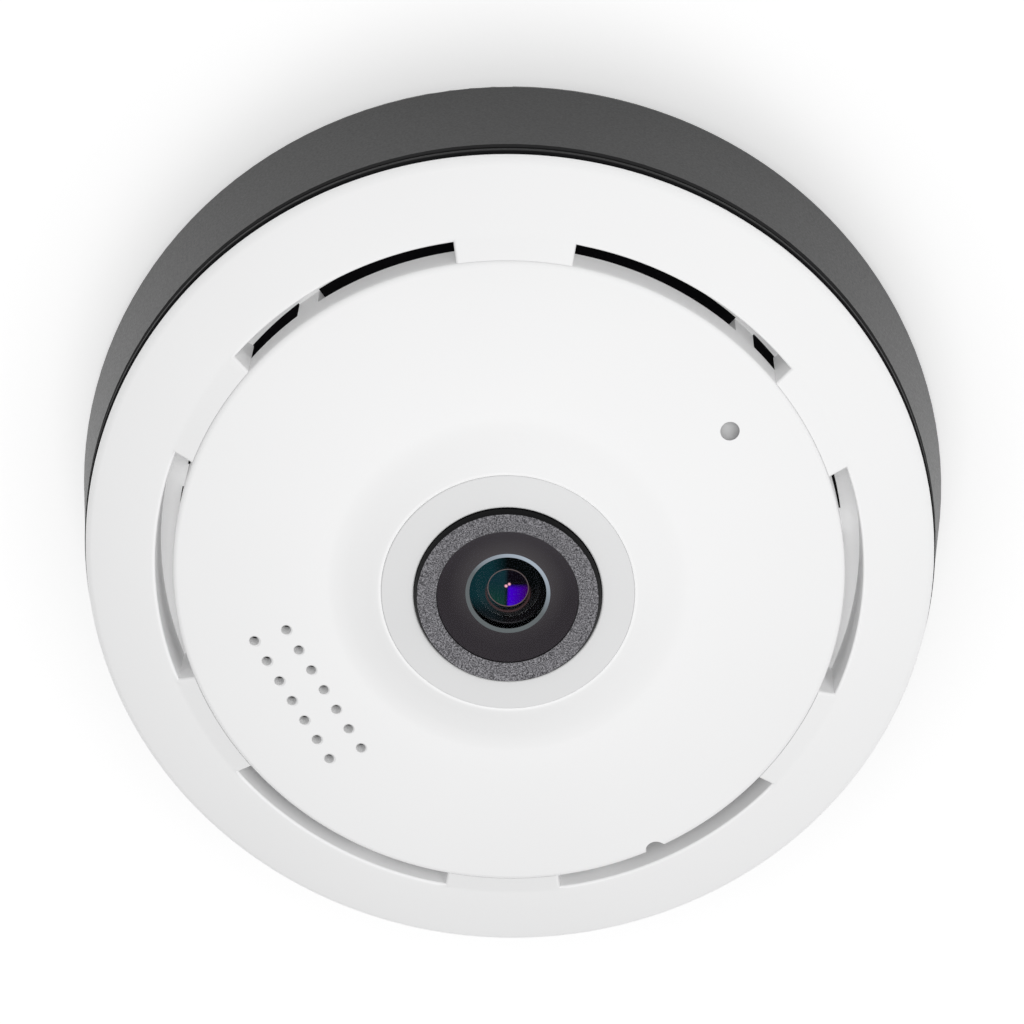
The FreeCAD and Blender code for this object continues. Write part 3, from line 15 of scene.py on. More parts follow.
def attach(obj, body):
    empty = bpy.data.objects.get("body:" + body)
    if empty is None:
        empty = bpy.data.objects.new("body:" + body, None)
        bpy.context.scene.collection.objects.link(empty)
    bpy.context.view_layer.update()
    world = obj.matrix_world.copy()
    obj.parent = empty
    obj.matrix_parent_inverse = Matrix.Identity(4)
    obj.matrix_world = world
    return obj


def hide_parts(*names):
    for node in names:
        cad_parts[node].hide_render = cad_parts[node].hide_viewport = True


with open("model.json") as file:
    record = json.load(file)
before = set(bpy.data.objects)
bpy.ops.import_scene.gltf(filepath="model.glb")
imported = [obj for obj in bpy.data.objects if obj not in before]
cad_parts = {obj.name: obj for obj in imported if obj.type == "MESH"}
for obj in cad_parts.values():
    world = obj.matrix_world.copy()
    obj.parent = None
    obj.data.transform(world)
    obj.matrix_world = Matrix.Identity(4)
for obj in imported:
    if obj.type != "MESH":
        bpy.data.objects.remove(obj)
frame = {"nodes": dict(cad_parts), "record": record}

MM = 0.001
FULL_TURN = math.tau
FULL_STEPS = 240
MERGE = 1e-7
SMALL_ANGLE = 1e-4
SMALL_GAP = 0.001
NOISE_SPAN = (0.3, 0.7)
SPECK_SPAN = (0.34, 0.66)
WHITE = (1.0, 1.0, 1.0, 1.0)
LOG = logging.getLogger("ceiling_camera")

Pair = tuple[float, float]
Triple = tuple[float, float, float]
Colour = Triple
Socket = bpy.types.NodeSocket
Sockets = dict[str, Socket]
Node = bpy.types.Node
Tree = bpy.types.NodeTree
Material = bpy.types.Material
Thing = bpy.types.Object
Mesh = bmesh.types.BMesh
Vert = bmesh.types.BMVert


# Node building


@dataclass
class Wiring:
    """Small helper that places and links the nodes of one tree."""

    tree: Tree

    def link(self, value: object, target: Socket) -> None:
        """Join an output to an input, or set the input to a constant.

        Args:
            value: the output, or the constant.
            target: the input.
        """
        if isinstance(value, Socket):
            self.tree.links.new(value, target)
        else:
            target.default_value = value

    def node(self, kind: str, given: dict | None = None, **settings: object) -> Node:
        """Add a node of a type.

        Args:
            kind: Blender's type name of the node.
            given: sockets and constants that its inputs take, by label or number.
            settings: properties of the node, by name.

        Returns:
            The new node.
        """
        made = self.tree.nodes.new(kind)
        for name, value in settings.items():
            setattr(made, name, value)
        for label, value in (given or {}).items():
            self.link(value, made.inputs[label])
        return made

    def place(self) -> Socket:
        """Coordinates of the object itself."""
        return self.node("ShaderNodeTexCoord").outputs["Object"]

    def noise(self, vector: Socket, scale: float | Socket, detail: float, rough: float = 0.5) -> Socket:
        """Value of a noise texture with a number of features per metre."""
        given = {"Vector": vector, "Scale": scale, "Detail": detail, "Roughness": rough}
        return self.node("ShaderNodeTexNoise", given).outputs[0]

    def maths(self, operation: str, first: object, second: object) -> Socket:
        """Output of a math node on two sockets or numbers."""
        return self.node("ShaderNodeMath", {0: first, 1: second}, operation=operation).outputs[0]

    def between(self, value: Socket, low: float, high: float, start: float = 0.0, end: float = 1.0) -> Socket:
        """Map a varying value from a range to another.

        Args:
            value: the varying value.
            low: result at start.
            high: result at end.
            start: lower end of the value's range.
            end: upper end of the value's range.

        Returns:
            The mapped value.
        """
        given = {"Value": value, "From Min": start, "From Max": end, "To Min": low, "To Max": high}
        return self.node("ShaderNodeMapRange", given, clamp=True).outputs["Result"]

    def blend(self, mask: Socket, first: object, second: object) -> Socket:
        """Mix two colours by a mask.

        Args:
            mask: share of the second colour.
            first: a colour or a socket.
            second: a colour or a socket.

        Returns:
            The mixed colour.
        """
        ends = [value if isinstance(value, Socket) else (*value, 1.0) for value in (first, second)]
        given = {0: mask, 6: ends[0], 7: ends[1]}
        return self.node("ShaderNodeMix", given, data_type="RGBA").outputs[2]

    def plan_distance(self, place: Socket, across: float = 0.0, up: float = 0.0) -> Socket:
        """Distance in plan from a point.

        Args:
            place: coordinates to measure from.
            across: X of the point in millimetres.
            up: Y of the point in millimetres.

        Returns:
            The distance in metres.
        """
        flat = self.node("ShaderNodeVectorMath", {0: place, 1: (1.0, 1.0, 0.0)}, operation="MULTIPLY")
        given = {0: flat.outputs[0], 1: (across * MM, up * MM, 0.0)}
        return self.node("ShaderNodeVectorMath", given, operation="DISTANCE").outputs["Value"]


def new_group(name: str, inputs: dict[str, float],
              outputs: tuple[str, ...]) -> tuple[Wiring, Sockets, Sockets]:
    """Start a shader node group with named value sockets.

    Args:
        name: the group's name.
        inputs: input names and their usual values.
        outputs: output names.

    Returns:
        The group's wiring, the values that it is given and those that it puts out.
    """
    tree = bpy.data.node_groups.new(name, "ShaderNodeTree")
    for label, usual in inputs.items():
        made = tree.interface.new_socket(name=label, in_out="INPUT", socket_type="NodeSocketFloat")
        made.default_value = usual
    for label in outputs:
        tree.interface.new_socket(name=label, in_out="OUTPUT", socket_type="NodeSocketFloat")
    wiring = Wiring(tree)
    return wiring, wiring.node("NodeGroupInput").outputs, wiring.node("NodeGroupOutput").inputs


class Effect(Enum):
    """Surface effects that several finishes share."""

    GRAIN = "moulded_grain"
    SPECKLE = "blasted_speckle"
    BRUSHED = "drawn_lines"


def build_grain() -> Tree:
    """Fine moulded grain with a slow variation of tone.

    Returns:
        The node group.
    """
    wiring, given, result = new_group(Effect.GRAIN.value, {"Grain": 4000.0, "Slow": 30.0}, ("Height", "Tone"))
    place = wiring.place()
    wiring.link(wiring.noise(place, given["Grain"], 3.0, 0.6), result["Height"])
    wiring.link(wiring.noise(place, given["Slow"], 2.0), result["Tone"])
    return wiring.tree


def build_speckle() -> Tree:
    """Sharp specks of a blasted or pressed surface.

    Returns:
        The node group.
    """
    wiring, given, result = new_group(Effect.SPECKLE.value, {"Specks": 5000.0}, ("Height", "Specks"))
    place = wiring.place()
    specks = wiring.noise(place, given["Specks"], 1.0, 0.7)
    cells = wiring.node("ShaderNodeTexVoronoi", {"Vector": place, "Scale": given["Specks"]},
                        feature="F1")
    wiring.link(wiring.between(specks, 0.0, 1.0, *SPECK_SPAN), result["Specks"])
    wiring.link(wiring.maths("SUBTRACT", specks, cells.outputs["Distance"]), result["Height"])
    return wiring.tree


def build_brushed() -> Tree:
    """Lines of drawn or rolled metal along X.

    Returns:
        The node group.
    """
    wiring, given, result = new_group(Effect.BRUSHED.value, {"Lines": 900.0}, ("Height", "Tone"))
    place = wiring.place()
    stretch = wiring.node("ShaderNodeMapping", {"Vector": place, "Scale": (0.04, 1.0, 1.0)})
    lines = wiring.noise(stretch.outputs[0], given["Lines"], 3.0, 0.6)
    wiring.link(lines, result["Height"])
    wiring.link(wiring.noise(place, 120.0, 1.0), result["Tone"])
    return wiring.tree


EFFECT_BUILDERS = {Effect.GRAIN: build_grain, Effect.SPECKLE: build_speckle, Effect.BRUSHED: build_brushed}


def effect(kind: Effect) -> Tree:
    """Node group of an effect, built once."""
    return bpy.data.node_groups.get(kind.value) or EFFECT_BUILDERS[kind]()


@dataclass
class Surface:
    """A material under construction: its wiring and its main shader."""

    material: Material
    wiring: Wiring
    shader: Node

    @classmethod
    def start(cls, name: str, **constants: object) -> "Surface":
        """Start a material with one Principled shader.

        Args:
            name: the material's name.
            constants: values of the shader's sockets, with underscores for spaces.

        Returns:
            The surface.
        """
        material = bpy.data.materials.new(name)
        material.use_nodes = True
        wiring = Wiring(material.node_tree)
        shader = material.node_tree.nodes["Principled BSDF"]
        for label, value in constants.items():
            shader.inputs[label.replace("_", " ")].default_value = value
        return cls(material, wiring, shader)

    def effect(self, kind: Effect, **values: float) -> Sockets:
        """Place a shared effect with the values of its inputs, and hand over its outputs."""
        return self.wiring.node("ShaderNodeGroup", values, node_tree=effect(kind)).outputs

    def bump(self, height: Socket, depth: float) -> None:
        """Raise the surface by a varying height, to a real depth in metres."""
        made = self.wiring.node("ShaderNodeBump", {"Height": height, "Distance": depth, "Strength": 1.0})
        self.feed("Normal", made.outputs[0])

    def feed(self, label: str, value: Socket) -> None:
        """Link a varying value to a socket of the shader."""
        self.wiring.link(value, self.shader.inputs[label])

    def paint(self, mask: Socket, first: Colour, second: Colour) -> None:
        """Vary the base colour between two colours by a mask."""
        self.feed("Base Color", self.wiring.blend(mask, first, second))

    def polish(self, noise: Socket, low: float, high: float) -> None:
        """Vary the roughness between two values by a noise."""
        self.feed("Roughness", self.wiring.between(noise, low, high, *NOISE_SPAN))


# Finishes


@dataclass(frozen=True)
class Moulded:
    """Moulded plastic or rubber with a fine grain."""

    name: str
    colour: Colour
    shade: Colour
    rough: float = 0.4
    rough_spread: float = 0.06
    grain: float = 5000.0
    depth: float = 3e-6
    slow: float = 40.0
    coat: float = 0.0
    specular: float = 0.5
    # glow: even emission. On the white plastics it is painted light that lifts their shade; on the floor it
    # makes an evenly lit table.
    glow: float = 0.0

    def build(self) -> Material:
        """Make the material.

        Returns:
            The material.
        """
        surface = Surface.start(self.name, IOR=1.49, Specular_IOR_Level=self.specular, Coat_Weight=self.coat,
                                Coat_Roughness=0.12, Emission_Color=WHITE, Emission_Strength=self.glow)
        grain = surface.effect(Effect.GRAIN, Grain=self.grain, Slow=self.slow)
        tone = surface.wiring.between(grain["Tone"], 0.0, 1.0, *NOISE_SPAN)
        surface.paint(tone, self.colour, self.shade)
        height = grain["Height"]
        surface.polish(height, self.rough - self.rough_spread, self.rough + self.rough_spread)
        surface.bump(height, self.depth)
        return surface.material


@dataclass(frozen=True)
class Blasted:
    """Blasted or pressed surface of light and dark specks."""

    name: str
    dark: Colour
    light: Colour
    metallic: float = 0.6
    rough: float = 0.5
    specks: float = 5000.0
    depth: float = 1.2e-5
    rougher: float = 0.12
    smoother: float = 0.1

    def build(self) -> Material:
        """Make the material.

        Returns:
            The material.
        """
        surface = Surface.start(self.name, Metallic=self.metallic)
        speckle = surface.effect(Effect.SPECKLE, Specks=self.specks)
        specks = speckle["Specks"]
        surface.paint(specks, self.dark, self.light)
        surface.feed("Roughness", surface.wiring.between(specks, self.rough + self.rougher,
                                                         self.rough - self.smoother))
        surface.bump(speckle["Height"], self.depth)
        return surface.material


@dataclass(frozen=True)
class PlatedMetal:
    """Drawn, rolled or plated metal."""

    name: str
    colour: Colour
    tint: Colour
    rough: float = 0.28
    lines: float = 900.0
    smoother: float = 0.08
    rougher: float = 0.1
    depth: float = 2e-6

    def build(self) -> Material:
        """Make the material.

        Returns:
            The material.
        """
        surface = Surface.start(self.name, Metallic=1.0)
        brushed = surface.effect(Effect.BRUSHED, Lines=self.lines)
        surface.paint(brushed["Tone"], self.colour, self.tint)
        surface.polish(brushed["Height"], self.rough - self.smoother, self.rough + self.rougher)
        surface.bump(brushed["Height"], self.depth)
        return surface.material


@dataclass(frozen=True)
class Wound:
    """Fine enamelled wire wound around X."""

    name: str
    colour: Colour
    gap: Colour
    turns: float = 900.0
    depth: float = 4e-5

    def build(self) -> Material:
        """Make the material.

        Returns:
            The material.
        """
        surface = Surface.start(self.name, Metallic=0.9, Roughness=0.3)
        given = {"Vector": surface.wiring.place(), "Scale": self.turns}
        turns = surface.wiring.node("ShaderNodeTexWave", given, wave_type="BANDS", bands_direction="X",
                                    wave_profile="SIN")
        surface.paint(turns.outputs["Fac"], self.gap, self.colour)
        surface.bump(turns.outputs["Fac"], self.depth)
        return surface.material


@dataclass(frozen=True)
class CircuitBoard:
    """Solder mask over copper traces and glass weave."""

    name: str
    mask: Colour
    copper: Colour
    cells: float = 280.0
    trace_core: float = 0.02
    trace_edge: float = 0.06
    depth: float = 2e-5
    gloss: Pair = (0.3, 0.5)

    def build(self) -> Material:
        """Make the material.

        Returns:
            The material.
        """
        surface = Surface.start(self.name, Coat_Weight=0.6, Coat_Roughness=0.15)
        wiring = surface.wiring
        given = {"Vector": wiring.place(), "Scale": self.cells}
        cells = wiring.node("ShaderNodeTexVoronoi", given, feature="DISTANCE_TO_EDGE")
        trace = wiring.between(cells.outputs["Distance"], 1.0, 0.0, self.trace_core, self.trace_edge)
        grain = surface.effect(Effect.GRAIN, Grain=2500.0, Slow=60.0)
        surface.paint(trace, self.mask, self.copper)
        surface.polish(grain["Height"], *self.gloss)
        surface.bump(trace, self.depth)
        return surface.material


@dataclass(frozen=True)
class Glass:
    """Clear or tinted glass with a faint handling haze."""

    name: str
    tint: Colour
    ior: float = 1.5
    rough: float = 0.0
    mirror: Colour = (1.0, 1.0, 1.0)
    paler: float = 1.02
    haze: float = 0.02
    haze_span: Pair = (0.4, 0.7)

    def build(self) -> Material:
        """Make the material.

        Returns:
            The material.
        """
        surface = Surface.start(self.name, Transmission_Weight=1.0, IOR=self.ior, Roughness=0.0,
                                Specular_Tint=(*self.mirror, 1.0))
        grain = surface.effect(Effect.GRAIN, Grain=600.0, Slow=50.0)
        tone = surface.wiring.between(grain["Tone"], 0.0, 1.0, *NOISE_SPAN)
        pale = tuple(min(1.0, part * self.paler) for part in self.tint)
        surface.paint(tone, self.tint, pale)
        if self.rough > 0:
            spread = surface.wiring.between(grain["Height"], self.rough, self.rough + self.haze,
                                            *self.haze_span)
            surface.feed("Roughness", spread)
        return surface.material


@dataclass(frozen=True)
class PaintedReflectionElement:
    """Dark inner element with painted reflections: fixed patches of coloured glow stand in for lamp
    reflections in its coatings, with a painted reflection ring on the lower side of its curve and painted
    glints.
    """

    name: str
    left_high: Colour
    left_low: Colour
    right_near: Colour
    right_far: Colour
    dark: Colour
    ring: Colour = (0.0, 0.0, 0.0)
    ring_radius: float = 3.1
    ring_width: float = 0.12
    ring_shift: float = 0.0
    painted_glints: tuple[Triple, ...] = ()
    glint_colour: Colour = (1.0, 0.45, 0.55)
    glint_core: float = 0.4
    ring_fade: float = 1.0
    right_blur: float = 0.15
    low_start: float = 0.15
    low_end: float = 0.8
    near_end: float = 0.5
    left_start: float = -0.6
    left_end: float = 0.0
    fade_low: float = -2.6
    fade_high: float = 1.0
    reach: float = 2.6
    gloss: Pair = (0.04, 0.1)

    def fields(self, wiring: Wiring, place: Socket) -> Socket:
        """Colours of the painted reflections: the coloured patches and the painted ring.

        Args:
            wiring: the material's wiring.
            place: coordinates of the object.

        Returns:
            The colour at each place.
        """
        axes = wiring.node("ShaderNodeSeparateXYZ", {0: place})
        across = axes.outputs["X"]
        up = axes.outputs["Y"]
        left = wiring.between(across, 1.0, 0.0, self.left_start * MM, self.left_end * MM)
        right = wiring.between(across, 0.0, 1.0, -self.right_blur * MM, self.right_blur * MM)
        low = wiring.between(up, 1.0, 0.0, self.low_start * MM, self.low_end * MM)
        far = wiring.between(across, 0.0, 1.0, self.near_end * MM, self.reach * MM)
        high = wiring.between(up, 0.0, 1.0, self.fade_low * MM, self.fade_high * MM)
        left_tone = wiring.blend(high, self.left_low, self.left_high)
        right_tone = wiring.blend(far, self.right_near, self.right_far)
        glow = wiring.blend(left, self.dark, left_tone)
        glow = wiring.blend(wiring.maths("MULTIPLY", right, low), glow, right_tone)
        # Painted reflection ring around the curve, fading out towards its upper side.
        distance = wiring.plan_distance(place, 0.0, self.ring_shift)
        off = wiring.maths("ABSOLUTE", wiring.maths("SUBTRACT", distance, self.ring_radius * MM), 0.0)
        band = wiring.between(off, 1.0, 0.0, 0.0, self.ring_width * MM)
        lower = wiring.between(up, 1.0, 0.0, -self.ring_fade * MM, self.ring_fade * MM)
        return wiring.blend(wiring.maths("MULTIPLY", band, lower), glow, self.ring)

    def build(self) -> Material:
        """Make the material.

        Returns:
            The material.
        """
        surface = Surface.start(self.name, Base_Color=(*self.dark, 1.0), IOR=1.6, Emission_Strength=1.0,
                                Specular_IOR_Level=0.0)
        wiring = surface.wiring
        place = wiring.place()
        # The painted reflections are fed as emission, so the element glows though it is no lamp.
        glow = self.fields(wiring, place)
        # Each glint is a painted highlight: a small pink-white spot of glow.
        for across, up, radius in self.painted_glints:
            distance = wiring.plan_distance(place, across, up)
            near = wiring.between(distance, 1.0, 0.0, radius * self.glint_core * MM, radius * MM)
            glow = wiring.blend(near, glow, self.glint_colour)
        surface.feed("Emission Color", glow)
        smear = surface.effect(Effect.GRAIN, Grain=900.0, Slow=300.0)
        surface.polish(smear["Height"], *self.gloss)
        return surface.material


@dataclass(frozen=True)
class PaintedGlowRing:
    """Ring painted with light: an emission glow brighter towards one side and an optional painted halo, over
    a near-black base painted lighter on the same side.
    """

    name: str
    dim: Colour
    bright: Colour
    degrees: float
    reach: float
    halo: Colour = (0.0, 0.0, 0.0)
    halo_width: float = 0.0
    halo_start: float = 5.0
    halo_far: float = 0.25
    base_dark: Colour = (0.004, 0.004, 0.004)
    base_pale: Colour = (0.01, 0.01, 0.011)
    gloss: Pair = (0.45, 0.6)

    def build(self) -> Material:
        """Make the material.

        Returns:
            The material.
        """
        surface = Surface.start(self.name, IOR=1.5, Emission_Strength=1.0, Specular_IOR_Level=0.1)
        wiring = surface.wiring
        place = wiring.place()
        angle = math.radians(self.degrees)
        given = {0: place, 1: (math.cos(angle), math.sin(angle), 0.0)}
        side = wiring.node("ShaderNodeVectorMath", given, operation="DOT_PRODUCT").outputs["Value"]
        # The share rises towards one side: the glow there is painted light.
        share = wiring.between(side, 0.0, 1.0, 0.0, self.reach * MM)
        grain = surface.effect(Effect.GRAIN, Grain=3000.0, Slow=250.0)
        tone = wiring.maths("MULTIPLY", share, wiring.between(grain["Tone"], 0.8, 1.0, *NOISE_SPAN))
        glow = wiring.blend(tone, self.dim, self.bright)
        # Painted halo: a glow within halo_start of the axis, fading out over halo_width, stronger on the
        # bright side.
        if self.halo_width > 0:
            start = self.halo_start * MM
            near = wiring.between(wiring.plan_distance(place), 1.0, 0.0, start, start + self.halo_width * MM)
            facing = wiring.between(side, self.halo_far, 1.0, -start, start)
            glow = wiring.blend(wiring.maths("MULTIPLY", near, facing), glow, self.halo)
        surface.feed("Emission Color", glow)
        # The base colour is painted lighter on the same side.
        surface.paint(tone, self.base_dark, self.base_pale)
        surface.polish(grain["Height"], *self.gloss)
        return surface.material


# Turned shapes


@dataclass(frozen=True)
class Corner:
    """One corner of a turned outline, in millimetres."""

    radius: float
    height: float
    soft: float = 0.0
    steps: int = 4


def draw_outline(mesh: Mesh, corners: list[Corner], closed: bool = True) -> list:
    """Draw an outline in the XZ plane, with its soft corners rounded.

    Args:
        mesh: the bmesh that it goes into.
        corners: corners in order.
        closed: whether the last corner joins the first.

    Returns:
        The new vertices and edges.
    """
    known_verts = set(mesh.verts)
    known_edges = set(mesh.edges)
    verts = [mesh.verts.new((corner.radius * MM, 0.0, corner.height * MM)) for corner in corners]
    ends = verts[1:] + verts[:1] if closed else verts[1:]
    for start, end in zip(verts, ends):
        mesh.edges.new((start, end))
    for vert, corner in zip(verts, corners):
        if corner.soft > 0:
            soften(mesh, [vert], corner.soft, corner.steps, "VERTICES")
    return [v for v in mesh.verts if v not in known_verts] + [e for e in mesh.edges if e not in known_edges]


def draw_cap(mesh: Mesh, edge: Corner, apex: float, steps: int) -> Vert:
    """Draw half the outline of a spherical cap, from the lens axis to its edge.

    Args:
        mesh: the bmesh that it goes into.
        edge: the cap's edge.
        apex: height of the cap at the axis, in millimetres.
        steps: number of segments.

    Returns:
        The vertex at the edge.
    """
    rise = apex - edge.height
    sphere = (edge.radius * edge.radius + rise * rise) / (2 * rise)
    first = mesh.verts.new((0.0, 0.0, apex * MM))
    arc = bmesh.ops.spin(mesh, geom=[first], cent=(0, 0, (apex - sphere) * MM), axis=(0, 1, 0),
                         dvec=(0, 0, 0), angle=math.asin(edge.radius / sphere), steps=steps,
                         use_merge=False, use_duplicate=False)
    return next(item for item in arc["geom_last"] if isinstance(item, Vert))


def rotate(mesh: Mesh, geometry: list, angle: float) -> None:
    """Rotate the vertices of some geometry about the lens axis."""
    verts = [item for item in geometry if isinstance(item, Vert)]
    bmesh.ops.rotate(mesh, cent=(0, 0, 0), matrix=Matrix.Rotation(angle, 3, "Z"), verts=verts)


def turn_outline(mesh: Mesh, outline: list, start: float = 0.0, sweep: float = FULL_TURN,
                 steps: int = FULL_STEPS) -> None:
    """Turn an outline about the lens axis.

    Args:
        mesh: the bmesh that holds it.
        outline: its vertices and edges.
        start: angle where the band begins.
        sweep: angle of the band.
        steps: number of segments.
    """
    rotate(mesh, outline, start)
    bmesh.ops.spin(mesh, geom=outline, cent=(0, 0, 0), axis=(0, 0, 1), dvec=(0, 0, 0), angle=sweep,
                   steps=steps, use_merge=sweep >= FULL_TURN, use_duplicate=False)


def lathe(corners: list[Corner], steps: int = FULL_STEPS, closed: bool = True) -> Mesh:
    """Turn a whole ring or disc from one outline.

    Args:
        corners: corners of the outline.
        steps: number of segments.
        closed: whether the outline is a closed loop.

    Returns:
        The new bmesh.
    """
    mesh = bmesh.new()
    turn_outline(mesh, draw_outline(mesh, corners, closed), steps=steps)
    weld(mesh)
    return mesh


def weld(mesh: Mesh) -> None:
    """Merge vertices that share a place."""
    bmesh.ops.remove_doubles(mesh, verts=mesh.verts[:], dist=MERGE)


def turn_pattern(bands: list[tuple[list[Corner], float, float, int]], count: int) -> Mesh:
    """Turn the bands of one pitch, repeat them around the lens axis, and fill the bands' open ends.

    Args:
        bands: outline, starting angle, angle and number of segments of each band.
        count: how many pitches make the full turn.

    Returns:
        The new bmesh.
    """
    mesh = bmesh.new()
    for corners, start, sweep, steps in bands:
        turn_outline(mesh, draw_outline(mesh, corners), start, sweep, steps)
    weld(mesh)
    base = mesh.verts[:] + mesh.edges[:] + mesh.faces[:]
    for i in range(1, count):
        copy = bmesh.ops.duplicate(mesh, geom=base)
        rotate(mesh, copy["geom"], FULL_TURN / count * i)
    weld(mesh)
    loose = [edge for edge in mesh.edges if len(edge.link_faces) == 1]
    bmesh.ops.holes_fill(mesh, edges=loose, sides=0)
    return mesh


def soften(mesh: Mesh, geometry: list, offset: float, segments: int, affect: str = "EDGES") -> None:
    """Round edges or corners, by a width in millimetres."""
    bmesh.ops.bevel(mesh, geom=geometry, offset=offset * MM, offset_type="OFFSET", segments=segments,
                    profile=0.5, affect=affect, clamp_overlap=True, material=-1)


def polar(radius: float, degrees: float) -> Vector:
    """Point in metres from a radius in millimetres and an angle."""
    angle = math.radians(degrees)
    return Vector((radius * math.cos(angle), radius * math.sin(angle), 0.0)) * MM


def plan_radius(place: Vector) -> float:
    """Distance of a point from the lens axis, in millimetres."""
    return place.to_2d().length / MM


@dataclass
class Piece:
    """A finished object on its way into the scene."""

    name: str
    mesh: Mesh
    slot: str
    replaces: tuple[str, ...] = ()
    finishes: tuple[str, ...] = ()
    sharp: float = 35.0
    openings: Thing | None = None
    body: str = "head"

    def place(self) -> None:
        """Write the mesh, cut its openings, and hang the piece on its body."""
        made = mesh_object(self.name, self.mesh)
        for finish in self.finishes or (self.slot,):
            made.data.materials.append(material(finish))
        if self.openings:
            cut = made.modifiers.new("opening", "BOOLEAN")
            cut.operation = "DIFFERENCE"
            cut.solver = "EXACT"
            cut.object = self.openings
            settle(made)
            bpy.data.objects.remove(self.openings)
        for face in made.data.polygons:
            face.use_smooth = True
        made.data.set_sharp_from_angle(angle=math.radians(self.sharp))
        even = made.modifiers.new("even_normals", "WEIGHTED_NORMAL")
        even.keep_sharp = True
        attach(made, self.body)
        if self.replaces:
            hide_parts(*self.replaces)
        LOG.info("%s: %d faces on %s", self.name, len(made.data.polygons), self.body)


def linked_object(name: str, data: bpy.types.ID) -> Thing:
    """Put a new object into the scene.

    Args:
        name: the object's name.
        data: its mesh, lamp or camera.

    Returns:
        The object.
    """
    made = bpy.data.objects.new(name, data)
    bpy.context.scene.collection.objects.link(made)
    return made


def mesh_object(name: str, mesh: Mesh) -> Thing:
    """Turn a bmesh into an object with its normals outwards.

    Args:
        name: the object's name.
        mesh: the bmesh, which is freed.

    Returns:
        The object.
    """
    bmesh.ops.recalc_face_normals(mesh, faces=mesh.faces[:])
    data = bpy.data.meshes.new(name)
    mesh.to_mesh(data)
    mesh.free()
    return linked_object(name, data)


def settle(made: Thing) -> None:
    """Apply an object's modifiers to its mesh.

    Args:
        made: the object.
    """
    bpy.context.view_layer.update()
    seen = made.evaluated_get(bpy.context.evaluated_depsgraph_get())
    data = bpy.data.meshes.new_from_object(seen)
    made.modifiers.clear()
    made.data = data


def drill(centre: Vector, radius: float, low: float, high: float, mouth: float = 0.0,
          steps: int = 40) -> Mesh:
    """Round cutter whose mouth widens at 45 degrees.

    Args:
        centre: plan position in metres.
        radius: radius in millimetres.
        low: lower end in millimetres.
        high: height where the mouth begins, in millimetres.
        mouth: height of the mouth, in millimetres.
        steps: number of sides.

    Returns:
        The cutter's bmesh.
    """
    top = high + mouth
    mesh = lathe([Corner(0, low), Corner(radius, low), Corner(radius, high), Corner(radius + mouth, top),
                  Corner(0, top)], steps, closed=False)
    bmesh.ops.translate(mesh, vec=(centre.x, centre.y, 0), verts=mesh.verts[:])
    return mesh


def cutter_object(meshes: list[Mesh]) -> Thing:
    """Join cutters that don't touch into one object.

    Args:
        meshes: the cutters' bmeshes, which are freed.

    Returns:
        The object.
    """
    joined = bmesh.new()
    for mesh in meshes:
        data = bpy.data.meshes.new("tool")
        mesh.to_mesh(data)
        mesh.free()
        joined.from_mesh(data)
        bpy.data.meshes.remove(data)
    return mesh_object("openings", joined)


# The camera's pieces


